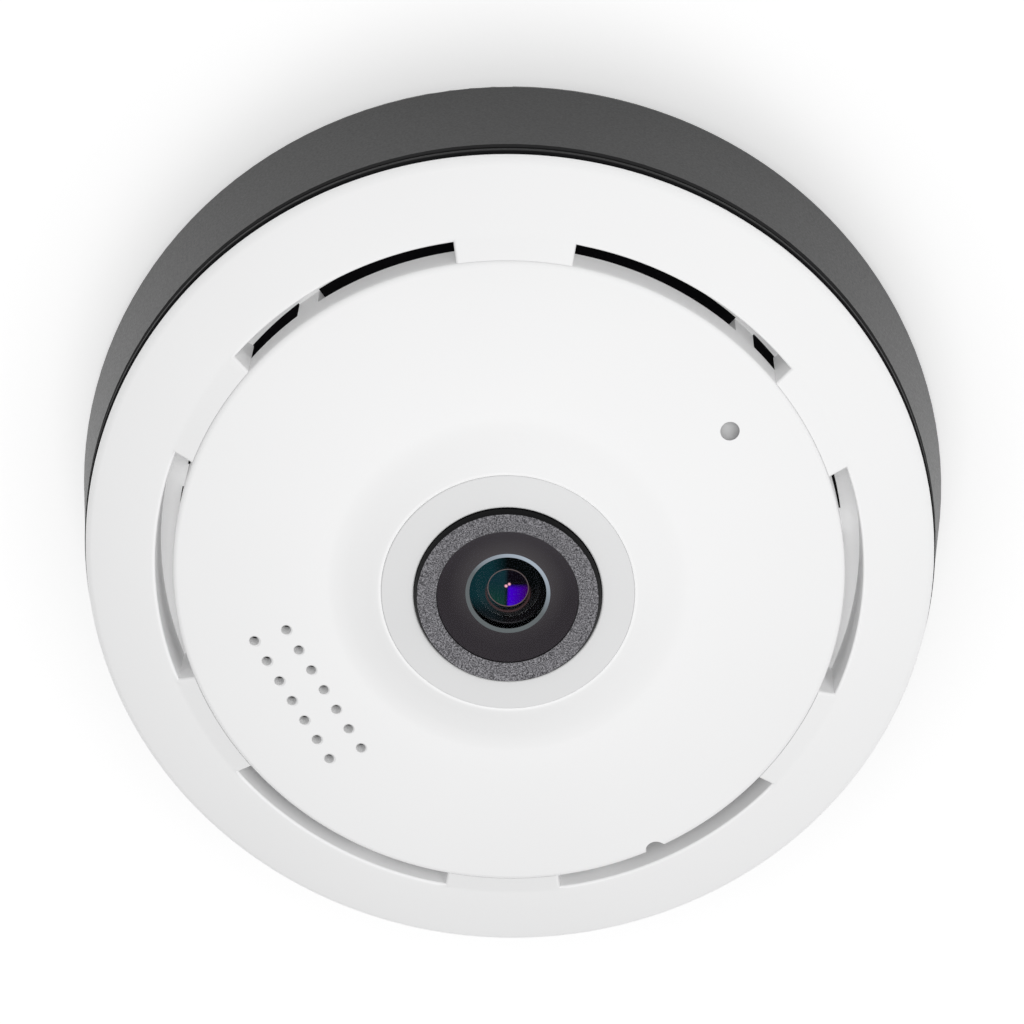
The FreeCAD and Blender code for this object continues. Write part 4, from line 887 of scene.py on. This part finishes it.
@dataclass
class FaceDome:
    """White dome with its boss, skirt windows, sound holes, microphone dimple and notch."""

    finishes: tuple[str, ...] = ("white_face", "smoked_window", "white_ledge_painted_light", "dimple_painted_shade")
    edge_radius: float = 42.0
    edge_height: float = 29.85
    wall: float = 1.7
    seat_radius: float = 15.75
    boss_top: Pair = (16.1, 33.9)
    boss_waist: Pair = (18.7, 32.8)
    boss_foot: Pair = (21.4, 32.05)
    crown: Pair = (31.2, 31.55)
    ledge_radius: float = 47.2
    ledge_height: float = 20.2
    ledge_low: float = 18.8
    painted_shade_radius: float = 42.2
    hub_low: float = 29.5
    window_top: float = 24.5
    window_count: int = 9
    rib_degrees: float = 4.3
    first_rib: float = 8.5
    sound_hole_radius: float = 0.62
    sound_row: int = 7
    sound_pitch: float = 3.12
    sound_gap: float = 4.42
    sound_stagger: float = 0.23
    speaker_radius: float = 29.563
    speaker_degrees: float = 213.51
    speaker_turn: float = -58.5
    sound_countersink: float = 0.12
    sound_mouth: float = 0.72
    sound_low: float = 26.0
    dimple_radius: float = 1.32
    dimple_lift: float = -0.5
    dimple_place: Pair = (34.05, 39.44)
    notch_radius: float = 1.3
    notch_degrees: float = 299.0
    notch_depth: float = 3.0
    notch_over: float = 0.5
    edge_soft: float = 0.7
    crown_soft: float = 8.6
    boss_soft: float = 1.6
    lip_soft: float = 0.22
    lip_drop: float = 0.05
    seat_low: float = 31.2
    hub_opening: float = 12.6
    roof_drop: float = 2.1
    roof_rise: float = 1.2
    bulge: float = 1.2
    bulge_inset: float = 1.0
    sharp: float = 32.0
    sound_steps: int = 28
    window_steps: int = 26
    rib_steps: int = 3

    @property
    def inner(self) -> float:
        """Inner radius of the skirt."""
        return self.edge_radius - self.wall

    def upper(self) -> list[Corner]:
        """Outline of the dome above its windows.

        Returns:
            Corners from the skirt's outer foot, over the dome, to its inner foot.
        """
        roof = self.edge_height - self.roof_drop
        return [
            Corner(self.edge_radius, self.window_top),
            Corner(self.edge_radius, self.edge_height, self.edge_soft, 5),
            Corner(*self.crown, self.crown_soft, 12), Corner(*self.boss_foot, self.boss_soft, 5),
            Corner(*self.boss_waist, self.boss_soft, 5), Corner(*self.boss_top, self.lip_soft, 3),
            Corner(self.seat_radius, self.boss_top[1] - self.lip_drop),
            Corner(self.seat_radius, self.seat_low), Corner(self.hub_opening, self.seat_low),
            Corner(self.hub_opening, self.hub_low), Corner(self.boss_foot[0], self.hub_low),
            Corner(self.crown[0], roof + self.roof_rise), Corner(self.inner, roof),
            Corner(self.inner, self.window_top)]

    def lower(self) -> list[Corner]:
        """Outline of the ledge outside the windows.

        Returns:
            Corners around the ledge, from its inner top.
        """
        return [Corner(self.inner, self.ledge_height), Corner(self.edge_radius, self.ledge_height),
                Corner(self.painted_shade_radius, self.ledge_height), Corner(self.ledge_radius, self.ledge_height),
                Corner(self.ledge_radius, self.ledge_low), Corner(self.inner, self.ledge_low)]

    def whole(self) -> list[Corner]:
        """Outline of dome, rib and ledge in one piece.

        Returns:
            Corners over the dome, down the rib and around the ledge.
        """
        top = self.upper()
        foot = self.lower()
        return [*top[1:], foot[0], foot[-1], *reversed(foot[1:5]), top[0]]

    def shell(self) -> Mesh:
        """Turn the dome, with open windows between ribs.

        Returns:
            The bmesh, its faces numbered by finish.
        """
        pitch = FULL_TURN / self.window_count
        rib = math.radians(self.rib_degrees)
        first = math.radians(self.first_rib)
        window = (first + rib / 2, pitch - rib, self.window_steps)
        bands = [(self.upper(), *window), (self.lower(), *window),
                 (self.whole(), first - rib / 2, rib, self.rib_steps)]
        mesh = turn_pattern(bands, self.window_count)
        for face in mesh.faces:
            centre = face.calc_center_median()
            turn = (math.atan2(centre.y, centre.x) - first + pitch / 2) % pitch - pitch / 2
            on_ledge = abs(centre.z - self.ledge_height * MM) < MERGE
            # Ledge faces inside the windows wear the black window finish: painted shade that keeps the
            # windows dark.
            dark = on_ledge and plan_radius(centre) < self.painted_shade_radius and abs(turn) > rib / 2
            # The rest of the ledge wears a glowing copy of the white plastic, painted light down in the
            # slots.
            finish = "smoked_window" if dark else "white_ledge_painted_light" if on_ledge else "white_face"
            face.material_index = self.finishes.index(finish)
        return mesh

    def surface_height(self, radius: float) -> float:
        """Height of the crown at a radius.

        Args:
            radius: distance from the lens axis, in millimetres.

        Returns:
            The height in millimetres.
        """
        outer = self.edge_radius - self.bulge_inset
        foot, top = self.boss_foot
        share = (outer - radius) / (outer - foot)
        return self.edge_height + share * (top - self.edge_height) + self.bulge * share * (1 - share)

    def sound_holes(self) -> list[Mesh]:
        """Drill the two rows of sound holes.

        Returns:
            A cutter for each hole.
        """
        cutters = []
        centre = polar(self.speaker_radius, self.speaker_degrees)
        turn = Matrix.Rotation(math.radians(self.speaker_turn), 3, "Z")
        for row in (-1, 1):
            for i in range(self.sound_row):
                along = (i - (self.sound_row - 1) / 2) * self.sound_pitch + row * self.sound_stagger
                place = centre + turn @ Vector((along * MM, row * self.sound_gap / 2 * MM, 0))
                high = self.surface_height(plan_radius(place)) - self.sound_countersink
                cutters.append(drill(place, self.sound_hole_radius, self.sound_low, high,
                                     self.sound_mouth, self.sound_steps))
        return cutters

    def build(self) -> None:
        """Make the dome."""
        place = polar(*self.dimple_place)
        top = self.surface_height(self.dimple_place[0]) + self.dimple_lift
        dimple = bmesh.new()
        bmesh.ops.create_uvsphere(dimple, u_segments=40, v_segments=24, radius=self.dimple_radius * MM)
        bmesh.ops.translate(dimple, vec=(place.x, place.y, top * MM), verts=dimple.verts[:])
        # The dimple wears a grey copy of the white plastic: painted shade in the hollow.
        for face in dimple.faces:
            face.material_index = self.finishes.index("dimple_painted_shade")
        notch = drill(polar(self.edge_radius, self.notch_degrees), self.notch_radius,
                      self.edge_height - self.notch_depth, self.edge_height + self.notch_over)
        openings = cutter_object(self.sound_holes() + [dimple, notch])
        Piece("face_dome_shell", self.shell(), "white_face", ("face_dome",), self.finishes, self.sharp,
              openings).place()


@dataclass
class RimCover:
    """White outer ring with arc slots and the lands between them."""

    low: float = 23.1
    radius: float = 53.5
    straight: float = 0.6
    round: float = 0.95
    inner_radius: float = 44.3
    inner_height: float = 28.2
    land_inner: float = 42.02
    edge_round: float = 0.4
    land_rise: float = 1.2
    crown: float = 0.28
    foot: float = 20.25
    inner_wall: float = 1.5
    slot_count: int = 6
    slot_first: float = 1.3
    slot_half: float = 20.3
    step: float = 0.12
    edge_soft: float = 1.0
    crown_soft: float = 3.6
    shell: float = 1.8
    hook_drop: float = 2.6
    roof_drop: float = 1.7
    edge_low: float = 27.5
    slot_steps: int = 30
    land_steps: int = 14
    wall_top: float = 27.7
    wall_margin: float = 0.1
    edge_lift: float = 0.1
    foot_rise: float = 0.3

    def outline(self, land: bool) -> list[Corner]:
        """Outline of the ring.

        Args:
            land: whether it includes the land that reaches the dome.

        Returns:
            Its corners.
        """
        top = self.low + self.straight + self.round
        middle_radius = (self.radius - self.round + self.inner_radius) / 2
        middle_height = (top + self.inner_height) / 2
        inner = [Corner(self.inner_radius, self.inner_height)]
        if land:
            inner += [Corner(self.land_inner, self.inner_height + self.land_rise),
                      Corner(self.land_inner, self.foot)]
        wall = self.inner_radius + self.inner_wall
        return [
            Corner(self.radius, self.low + self.step),
            Corner(self.radius, top + self.edge_lift, self.edge_soft, 6),
            Corner(middle_radius, middle_height + 2 * self.crown, self.crown_soft, 8), *inner,
            Corner(self.inner_radius, self.foot), Corner(wall, self.foot),
            Corner(wall, self.inner_height - self.hook_drop),
            Corner(middle_radius, middle_height - self.roof_drop),
            Corner(self.radius - self.shell, self.low + self.foot_rise),
            Corner(self.radius - self.shell, self.low),
            Corner(self.radius - self.step, self.low)]

    def in_slot(self, point: Vector) -> bool:
        """Tell whether a point lies in a slot's angle, its ends included.

        Args:
            point: the point.

        Returns:
            Whether it does.
        """
        pitch = FULL_TURN / self.slot_count
        angle = math.atan2(point.y, point.x) - math.radians(self.slot_first)
        return abs((angle + pitch / 2) % pitch - pitch / 2) <= math.radians(self.slot_half) + SMALL_ANGLE

    def edges_to_soften(self, mesh: Mesh) -> list:
        """Find the edges around the slots, at the ring's inner edge and the lands' ends.

        Args:
            mesh: the ring's bmesh.

        Returns:
            The edges.
        """
        reach = self.inner_radius + SMALL_GAP
        return [edge for edge in mesh.edges
                if all(self.in_slot(vert.co) and plan_radius(vert.co) <= reach
                       and vert.co.z >= self.edge_low * MM for vert in edge.verts)]

    def ring(self) -> Mesh:
        """Turn the slots and lands, and round their edges.

        Returns:
            The bmesh, its faces numbered by finish.
        """
        half = math.radians(self.slot_half)
        first = math.radians(self.slot_first)
        pitch = FULL_TURN / self.slot_count
        slot = (self.outline(False), first - half, 2 * half, self.slot_steps)
        land = (self.outline(True), first + half, pitch - 2 * half, self.land_steps)
        mesh = turn_pattern([slot, land], self.slot_count)
        soften(mesh, self.edges_to_soften(mesh), self.edge_round, 4)
        for face in mesh.faces:
            centre = face.calc_center_median()
            in_wall = plan_radius(centre) < self.inner_radius + self.wall_margin
            # Slot walls below wall_top wear a copy of the white plastic with a glow: painted light in the
            # slots.
            face.material_index = 1 if in_wall and centre.z < self.wall_top * MM else 0
        return mesh

    def build(self) -> None:
        """Make the rim."""
        Piece("rim_cover_shell", self.ring(), "white_face", ("rim_cover",),
              ("white_face", "white_slot_painted_light")).place()


@dataclass
class RevealRing:
    """Black bead in the groove under the rim."""

    radius: float = 53.77
    root: float = 52.8
    inner: float = 51.75
    low: float = 20.75
    high: float = 23.05
    bead_low: float = 21.4
    bead_high: float = 22.6
    bead_soft: float = 0.3

    def build(self) -> None:
        """Make the bead."""
        corners = [
            Corner(self.inner, self.low), Corner(self.root, self.low), Corner(self.root, self.bead_low),
            Corner(self.radius, self.bead_low, self.bead_soft),
            Corner(self.radius, self.bead_high, self.bead_soft),
            Corner(self.root, self.bead_high), Corner(self.root, self.high), Corner(self.inner, self.high)]
        Piece("reveal_bead", lathe(corners), "black_trim", ("reveal_ring",)).place()


@dataclass
class LensFront:
    """Pale insert ring, textured front ring, front glass and what shows through it."""

    bezel_height: float = 34.0
    bezel_slope: float = 0.55
    bezel_radius: float = 15.73
    bezel_opening: float = 11.68
    bezel_low: float = 31.2
    trim_radius: float = 11.6
    trim_opening: float = 8.8
    trim_side: float = 34.75
    trim_edge: float = 35.5
    trim_inner: float = 35.3
    trim_chamfer: float = 0.35
    trim_low: float = 31.8
    bore: float = 10.44
    lip: float = 33.9
    apex: float = 36.75
    face_edge: float = 35.15
    glass_rim: float = 9.3
    glass_top: float = 33.85
    glass_low: float = 32.65
    bowl_radius: float = 4.56
    bowl_chamfer: float = 0.05
    bowl_top: float = 34.25
    land_inner: float = 4.57
    land_outer: float = 4.98
    land_high: float = 32.85
    land_dip: float = 0.1
    bezel_soft: float = 0.15
    bezel_lip: float = 0.3
    trim_soft: float = 0.06
    fine_soft: float = 0.1
    face_steps: int = 40
    bowl_steps: int = 30
    sharp: float = 30.0
    glass_gap: float = 0.05
    paint_lift: float = 0.02
    paint_depth: float = 0.04
    paint_inset: float = 0.1
    curve_rim: tuple[Pair, ...] = ((2.7, 31.25), (2.82, 31.25), (2.82, 31.33), (2.7, 31.35))

    def bezel(self) -> None:
        """Make the pale insert ring."""
        corners = [
            Corner(self.bezel_opening, self.bezel_low), Corner(self.bezel_radius, self.bezel_low),
            Corner(self.bezel_radius, self.bezel_height, self.bezel_soft, 3),
            Corner(self.bezel_opening, self.bezel_height + self.bezel_slope, self.bezel_lip, 3)]
        Piece("bezel_insert", lathe(corners), "pale_insert", ("lens_bezel_ring",)).place()

    def trim(self) -> None:
        """Make the front ring, its face blasted and its side black."""
        corners = [
            Corner(self.bore, self.trim_low), Corner(self.trim_radius, self.trim_low),
            Corner(self.trim_radius, self.trim_side, self.fine_soft, 2),
            Corner(self.trim_radius - self.trim_chamfer, self.trim_edge, self.trim_soft, 2),
            Corner(self.trim_opening, self.trim_inner, self.fine_soft, 2),
            Corner(self.trim_opening, self.lip), Corner(self.bore, self.lip)]
        mesh = lathe(corners)
        for face in mesh.faces:
            centre = face.calc_center_median()
            inside = plan_radius(centre) < self.trim_radius - self.trim_chamfer
            on_face = inside and centre.z > (self.trim_inner - self.trim_soft) * MM
            face.material_index = 0 if on_face else 1
        Piece("front_ring", mesh, "speckled_grey", ("lens_trim_ring",),
              ("speckled_grey", "black_trim")).place()

    def front(self) -> None:
        """Make the bulging front element with its bowl."""
        mesh = bmesh.new()
        shoulder = self.trim_opening - self.glass_gap
        face = draw_cap(mesh, Corner(shoulder, self.face_edge), self.apex, self.face_steps)
        bowl_edge = Corner(self.bowl_radius, self.glass_low + self.bowl_chamfer)
        bowl = draw_cap(mesh, bowl_edge, self.bowl_top, self.bowl_steps)
        between = [Corner(shoulder, self.glass_top), Corner(self.glass_rim, self.glass_top),
                   Corner(self.glass_rim, self.glass_low),
                   Corner(self.bowl_radius + self.bowl_chamfer, self.glass_low)]
        side = draw_outline(mesh, between, closed=False)
        mesh.edges.new((face, side[0]))
        mesh.edges.new((side[len(between) - 1], bowl))
        turn_outline(mesh, mesh.verts[:] + mesh.edges[:])
        weld(mesh)
        Piece("front_element", mesh, "lens_glass", ("front_glass",), sharp=self.sharp).place()

    def backing(self) -> None:
        """Make the paint behind the front element and the ground land around its bowl."""
        inner = self.land_outer - self.glass_gap
        outer = self.glass_rim - self.paint_inset
        high = self.glass_low + self.paint_lift
        low = high - self.paint_depth
        paint = [Corner(inner, high), Corner(outer, high), Corner(outer, low), Corner(inner, low)]
        # The black paint's finish adds painted reflection: a faint glow, lighter towards the top, with a
        # painted halo near the bowl.
        Piece("glass_paint", lathe(paint), "black_trim", finishes=("lens_paint_and_painted_glow",)).place()
        # The ground land's pale look is a painted glow, brighter towards the upper right.
        ring = [Corner(self.land_inner, self.land_high - self.land_dip),
                Corner(self.land_outer, self.land_high), Corner(self.land_outer, self.glass_low),
                Corner(self.land_inner, self.glass_low)]
        Piece("ground_land", lathe(ring), "pale_insert", finishes=("ground_glass_painted_glow",)).place()
        rim = [Corner(*place) for place in self.curve_rim]
        # The curve's edge glows reddish, a painted reflection.
        Piece("curve_edge_painted_glow", lathe(rim, FULL_STEPS // 2), "black_trim", finishes=("curve_edge_painted_glow",)).place()

    def build(self) -> None:
        """Make all pieces of the lens's front."""
        self.bezel()
        self.trim()
        self.front()
        self.backing()


# All finishes, by name


FINISHES = {finish.name: finish for finish in (
    Moulded("dark_body", (0.012, 0.012, 0.0125), (0.017, 0.017, 0.0175), 0.38, 0.06, 3200.0, 9e-6,
        specular=0.29),
    # White plastic with a faint glow, painted light that lifts its shade in hollows.
    Moulded("white_face", (0.83, 0.83, 0.832), (0.815, 0.815, 0.817), 0.32, 0.05, 6000.0, 1.5e-6, 25.0,
        specular=0.3, glow=0.04),
    Moulded("pale_insert", (0.74, 0.741, 0.744), (0.72, 0.721, 0.725), 0.5, 0.08, 5000.0, 3e-6),
    Moulded("black_trim", (0.004, 0.004, 0.0045), (0.007, 0.007, 0.0075), 0.5, 0.06, 4000.0, 4e-6,
        specular=0.12),
    Blasted("speckled_grey", (0.045, 0.044, 0.049), (0.265, 0.26, 0.277), specks=6500.0),
    Moulded("bracket_plastic", (0.6, 0.605, 0.61), (0.55, 0.555, 0.56), 0.5, 0.08, 3000.0, 8e-6),
    Glass("lens_glass", (0.95, 0.975, 0.98), 1.52, 0.0, (0.05, 0.055, 0.08)),
    Glass("filter_glass", (0.35, 0.75, 0.8), 1.5),
    PlatedMetal("steel", (0.6, 0.6, 0.61), (0.7, 0.69, 0.66)),
    PlatedMetal("black_screw", (0.05, 0.05, 0.055), (0.09, 0.085, 0.08), 0.4),
    CircuitBoard("board_green", (0.005, 0.045, 0.018), (0.014, 0.09, 0.034)),
    Moulded("chip_black", (0.025, 0.025, 0.028), (0.04, 0.04, 0.042), 0.55, 0.08, 6000.0, 5e-6),
    Blasted("ferrite", (0.05, 0.05, 0.052), (0.16, 0.155, 0.15), 0.2, 0.6, 4000.0, 8e-6),
    PlatedMetal("can_silver", (0.72, 0.72, 0.74), (0.8, 0.8, 0.8), 0.2, 500.0),
    Wound("copper_wire", (0.75, 0.36, 0.16), (0.2, 0.07, 0.03)),
    Moulded("flex_amber", (0.42, 0.2, 0.035), (0.5, 0.26, 0.05), 0.3, 0.05, 2500.0, 4e-6, 90.0, 0.4),
    Blasted("foam_black", (0.015, 0.015, 0.016), (0.06, 0.06, 0.062), 0.0, 0.9, 2500.0, 6e-5),
    Moulded("rubber_black", (0.018, 0.018, 0.02), (0.03, 0.03, 0.032), 0.6, 0.08, 3500.0, 8e-6),
    Moulded("lead_red", (0.45, 0.02, 0.02), (0.52, 0.035, 0.03), 0.32, 0.05, 3000.0, 4e-6),
    Moulded("lead_black", (0.015, 0.015, 0.016), (0.025, 0.025, 0.027), 0.34, 0.05, 3000.0, 4e-6),
    Moulded("header_cream", (0.74, 0.7, 0.58), (0.8, 0.76, 0.64), 0.45, 0.06, 3000.0, 6e-6),
    Moulded("smoked_window", (0.004, 0.004, 0.005), (0.007, 0.006, 0.008), 0.5, 0.04, 2500.0, 1e-6, 60.0,
        0.0, 0.1),
    Moulded("lamp_dark", (0.012, 0.006, 0.016), (0.02, 0.01, 0.024), 0.12, 0.04, 2000.0, 1e-6, 60.0, 0.8),
    Glass("clear_light", (0.9, 0.93, 0.93), 1.49, 0.08),
    Blasted("cone_paper", (0.04, 0.04, 0.043), (0.11, 0.108, 0.11), 0.0, 0.8, 1800.0, 2e-5),
    # A copy of the white plastic with a stronger glow: painted light on the deep ledge under the slots.
    Moulded("white_ledge_painted_light", (0.83, 0.83, 0.832), (0.8, 0.8, 0.802), 0.4, 0.05, 6000.0, 1.5e-6, 25.0,
        specular=0.2, glow=0.18),
    # A slightly darker copy of the white plastic with a glow: painted light on the rim's walls in the slots.
    Moulded("white_slot_painted_light", (0.8, 0.8, 0.802), (0.78, 0.78, 0.782), 0.4, 0.05, 6000.0, 1.5e-6, 25.0,
        specular=0.2, glow=0.08),
    # A grey copy of the white plastic: painted shade in the microphone dimple.
    Moulded("dimple_painted_shade", (0.58, 0.58, 0.582), (0.54, 0.54, 0.542), 0.6, 0.05, 6000.0, 1.5e-6, 25.0,
        specular=0.05),
    Moulded("floor_paint", (0.97, 0.97, 0.97), (0.96, 0.96, 0.962), 0.8, 0.05, 400.0, 5e-6, 3.0,
        specular=0.2, glow=0.5),
    # Black paint on the glass's back, with painted reflection: a glow lighter towards the top and a painted
    # halo near its inner edge.
    PaintedGlowRing("lens_paint_and_painted_glow", (0.03, 0.0255, 0.0295), (0.046, 0.041, 0.046), 85.0, 9.0,
        (0.064, 0.058, 0.061), 2.2, 4.9),
    # Ground land: its pale blue-grey is painted light, a glow brighter towards the upper right over a
    # near-black base.
    PaintedGlowRing("ground_glass_painted_glow", (0.125, 0.14, 0.145), (0.43, 0.49, 0.57), 60.0, 4.9),
    # Curve's edge: a reddish glow all round, a painted reflection.
    PaintedReflectionElement("curve_edge_painted_glow", (0.11, 0.085, 0.085), (0.11, 0.075, 0.075), (0.12, 0.07, 0.09),
        (0.1, 0.06, 0.07), (0.09, 0.07, 0.07)),
    # Second lens: painted reflections, teal on the left and violet on the lower right, with a painted reddish
    # ring and two painted pink-white glints.
    PaintedReflectionElement("painted_reflection_element", (0.005, 0.026, 0.034), (0.006, 0.04, 0.026), (0.05, 0.0, 0.52),
        (0.035, 0.0, 0.1), (0.003, 0.002, 0.004), (0.06, 0.03, 0.03), 2.95, 0.22, -0.45,
        ((-0.28, 0.5, 0.27), (0.14, 0.78, 0.25))),
    # Spacer cone: a painted teal reflection on its left and a painted reddish ring.
    PaintedReflectionElement("painted_reflection_cone", (0.004, 0.026, 0.032), (0.003, 0.008, 0.01), (0.002, 0.002, 0.002),
        (0.002, 0.002, 0.002), (0.001, 0.0015, 0.0015), (0.06, 0.03, 0.03), 2.95, 0.22, -0.45,
        left_start=-2.2, left_end=-0.2, fade_low=-3.4, fade_high=-1.0, reach=5.0))}


@cache
def material(finish: str) -> Material:
    """Material of a finish, built at its first use."""
    return FINISHES[finish].build()


def wear(shown: Thing, finish: str) -> None:
    """Give an object one finish.

    Args:
        shown: the object.
        finish: the finish's name.
    """
    shown.data.materials.clear()
    shown.data.materials.append(material(finish))
    LOG.info("%s wears %s", shown.name, finish)


# Studio


@dataclass
class Studio:
    """Pale floor, soft lamps and the camera."""

    floor_half: float = 2.5
    world_light: float = 0.42
    aim: float = 0.02
    lens: float = 146.25
    place: Triple = (0.000074, 0.206223, 0.506485)
    right: Triple = (0.99907, 0.03994, -0.0165)
    up: Triple = (-0.04321, 0.92333, -0.38157)

    def floor(self) -> Thing:
        """Make the floor, a lit white table.

        Returns:
            The floor.
        """
        mesh = bmesh.new()
        bmesh.ops.create_grid(mesh, x_segments=1, y_segments=1, size=self.floor_half)
        made = mesh_object("floor", mesh)
        made.data.materials.append(material("floor_paint"))
        return made

    def lamp(self, name: str, place: Triple, size: float, power: float, not_on: Thing,
             glossy: bool = False) -> None:
        """Place a square soft lamp that faces the camera's lens.

        Args:
            name: the lamp's name.
            place: where it hangs, in metres.
            size: its side in metres.
            power: its power in watts.
            not_on: object that its light leaves out.
            glossy: whether shiny surfaces mirror it.
        """
        data = bpy.data.lights.new(name, "AREA")
        data.shape = "SQUARE"
        data.size = size
        data.energy = power
        made = linked_object(name, data)
        made.location = place
        made.visible_glossy = glossy
        made.visible_transmission = False
        left_out = bpy.data.collections.new(f"{name}_leaves_out")
        left_out.objects.link(not_on)
        left_out.collection_objects[0].light_linking.link_state = "EXCLUDE"
        made.light_linking.receiver_collection = left_out
        towards = Vector((0, 0, self.aim)) - Vector(place)
        made.rotation_euler = towards.to_track_quat("-Z", "Y").to_euler()

    def world(self) -> None:
        """Set a soft white surrounding light."""
        made = bpy.data.worlds.new("studio")
        made.use_nodes = True
        background = made.node_tree.nodes["Background"]
        background.inputs["Color"].default_value = WHITE
        background.inputs["Strength"].default_value = self.world_light
        bpy.context.scene.world = made

    def camera(self) -> None:
        """Place the camera at the photograph's angle."""
        data = bpy.data.cameras.new("view")
        data.lens = self.lens
        data.sensor_width = 36.0
        data.clip_start = 0.01
        made = linked_object("view", data)
        right = Vector(self.right).normalized()
        up = Vector(self.up).normalized()
        back = right.cross(up).normalized()
        turned = Matrix((right, up, back)).transposed()
        made.matrix_world = Matrix.Translation(self.place) @ turned.to_4x4()
        bpy.context.scene.camera = made

    def build(self) -> None:
        """Set up the studio."""
        floor = self.floor()
        self.world()
        glass = bpy.data.objects["front_element"]
        self.lamp("key", (0.46, 0.42, 1.0), size=0.5, power=3.8, not_on=floor)
        self.lamp("fill", (-0.02, 0.5, 1.1), size=0.3, power=3.1, not_on=floor)
        self.lamp("overhead", (0.02, -0.36, 1.08), size=0.5, power=2.3, not_on=glass, glossy=True)
        self.camera()
        scene = bpy.context.scene
        scene.view_settings.view_transform = "Standard"
        scene.view_settings.look = "None"


def main() -> None:
    """Build and dress the whole camera."""
    logging.basicConfig(level=logging.INFO, format="%(name)s %(message)s")
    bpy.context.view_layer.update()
    nodes = frame["nodes"]
    for part in frame["record"]["subparts"]:
        wear(nodes[part["node"]], part["material_slot"])
    # The second lens and the spacer wear painted reflections.
    wear(nodes["second_lens"], "painted_reflection_element")
    wear(nodes["lens_spacer"], "painted_reflection_cone")
    for piece in (FaceDome(), RimCover(), RevealRing(), LensFront(), Studio()):
        piece.build()


if __name__ == "__main__":
    main()
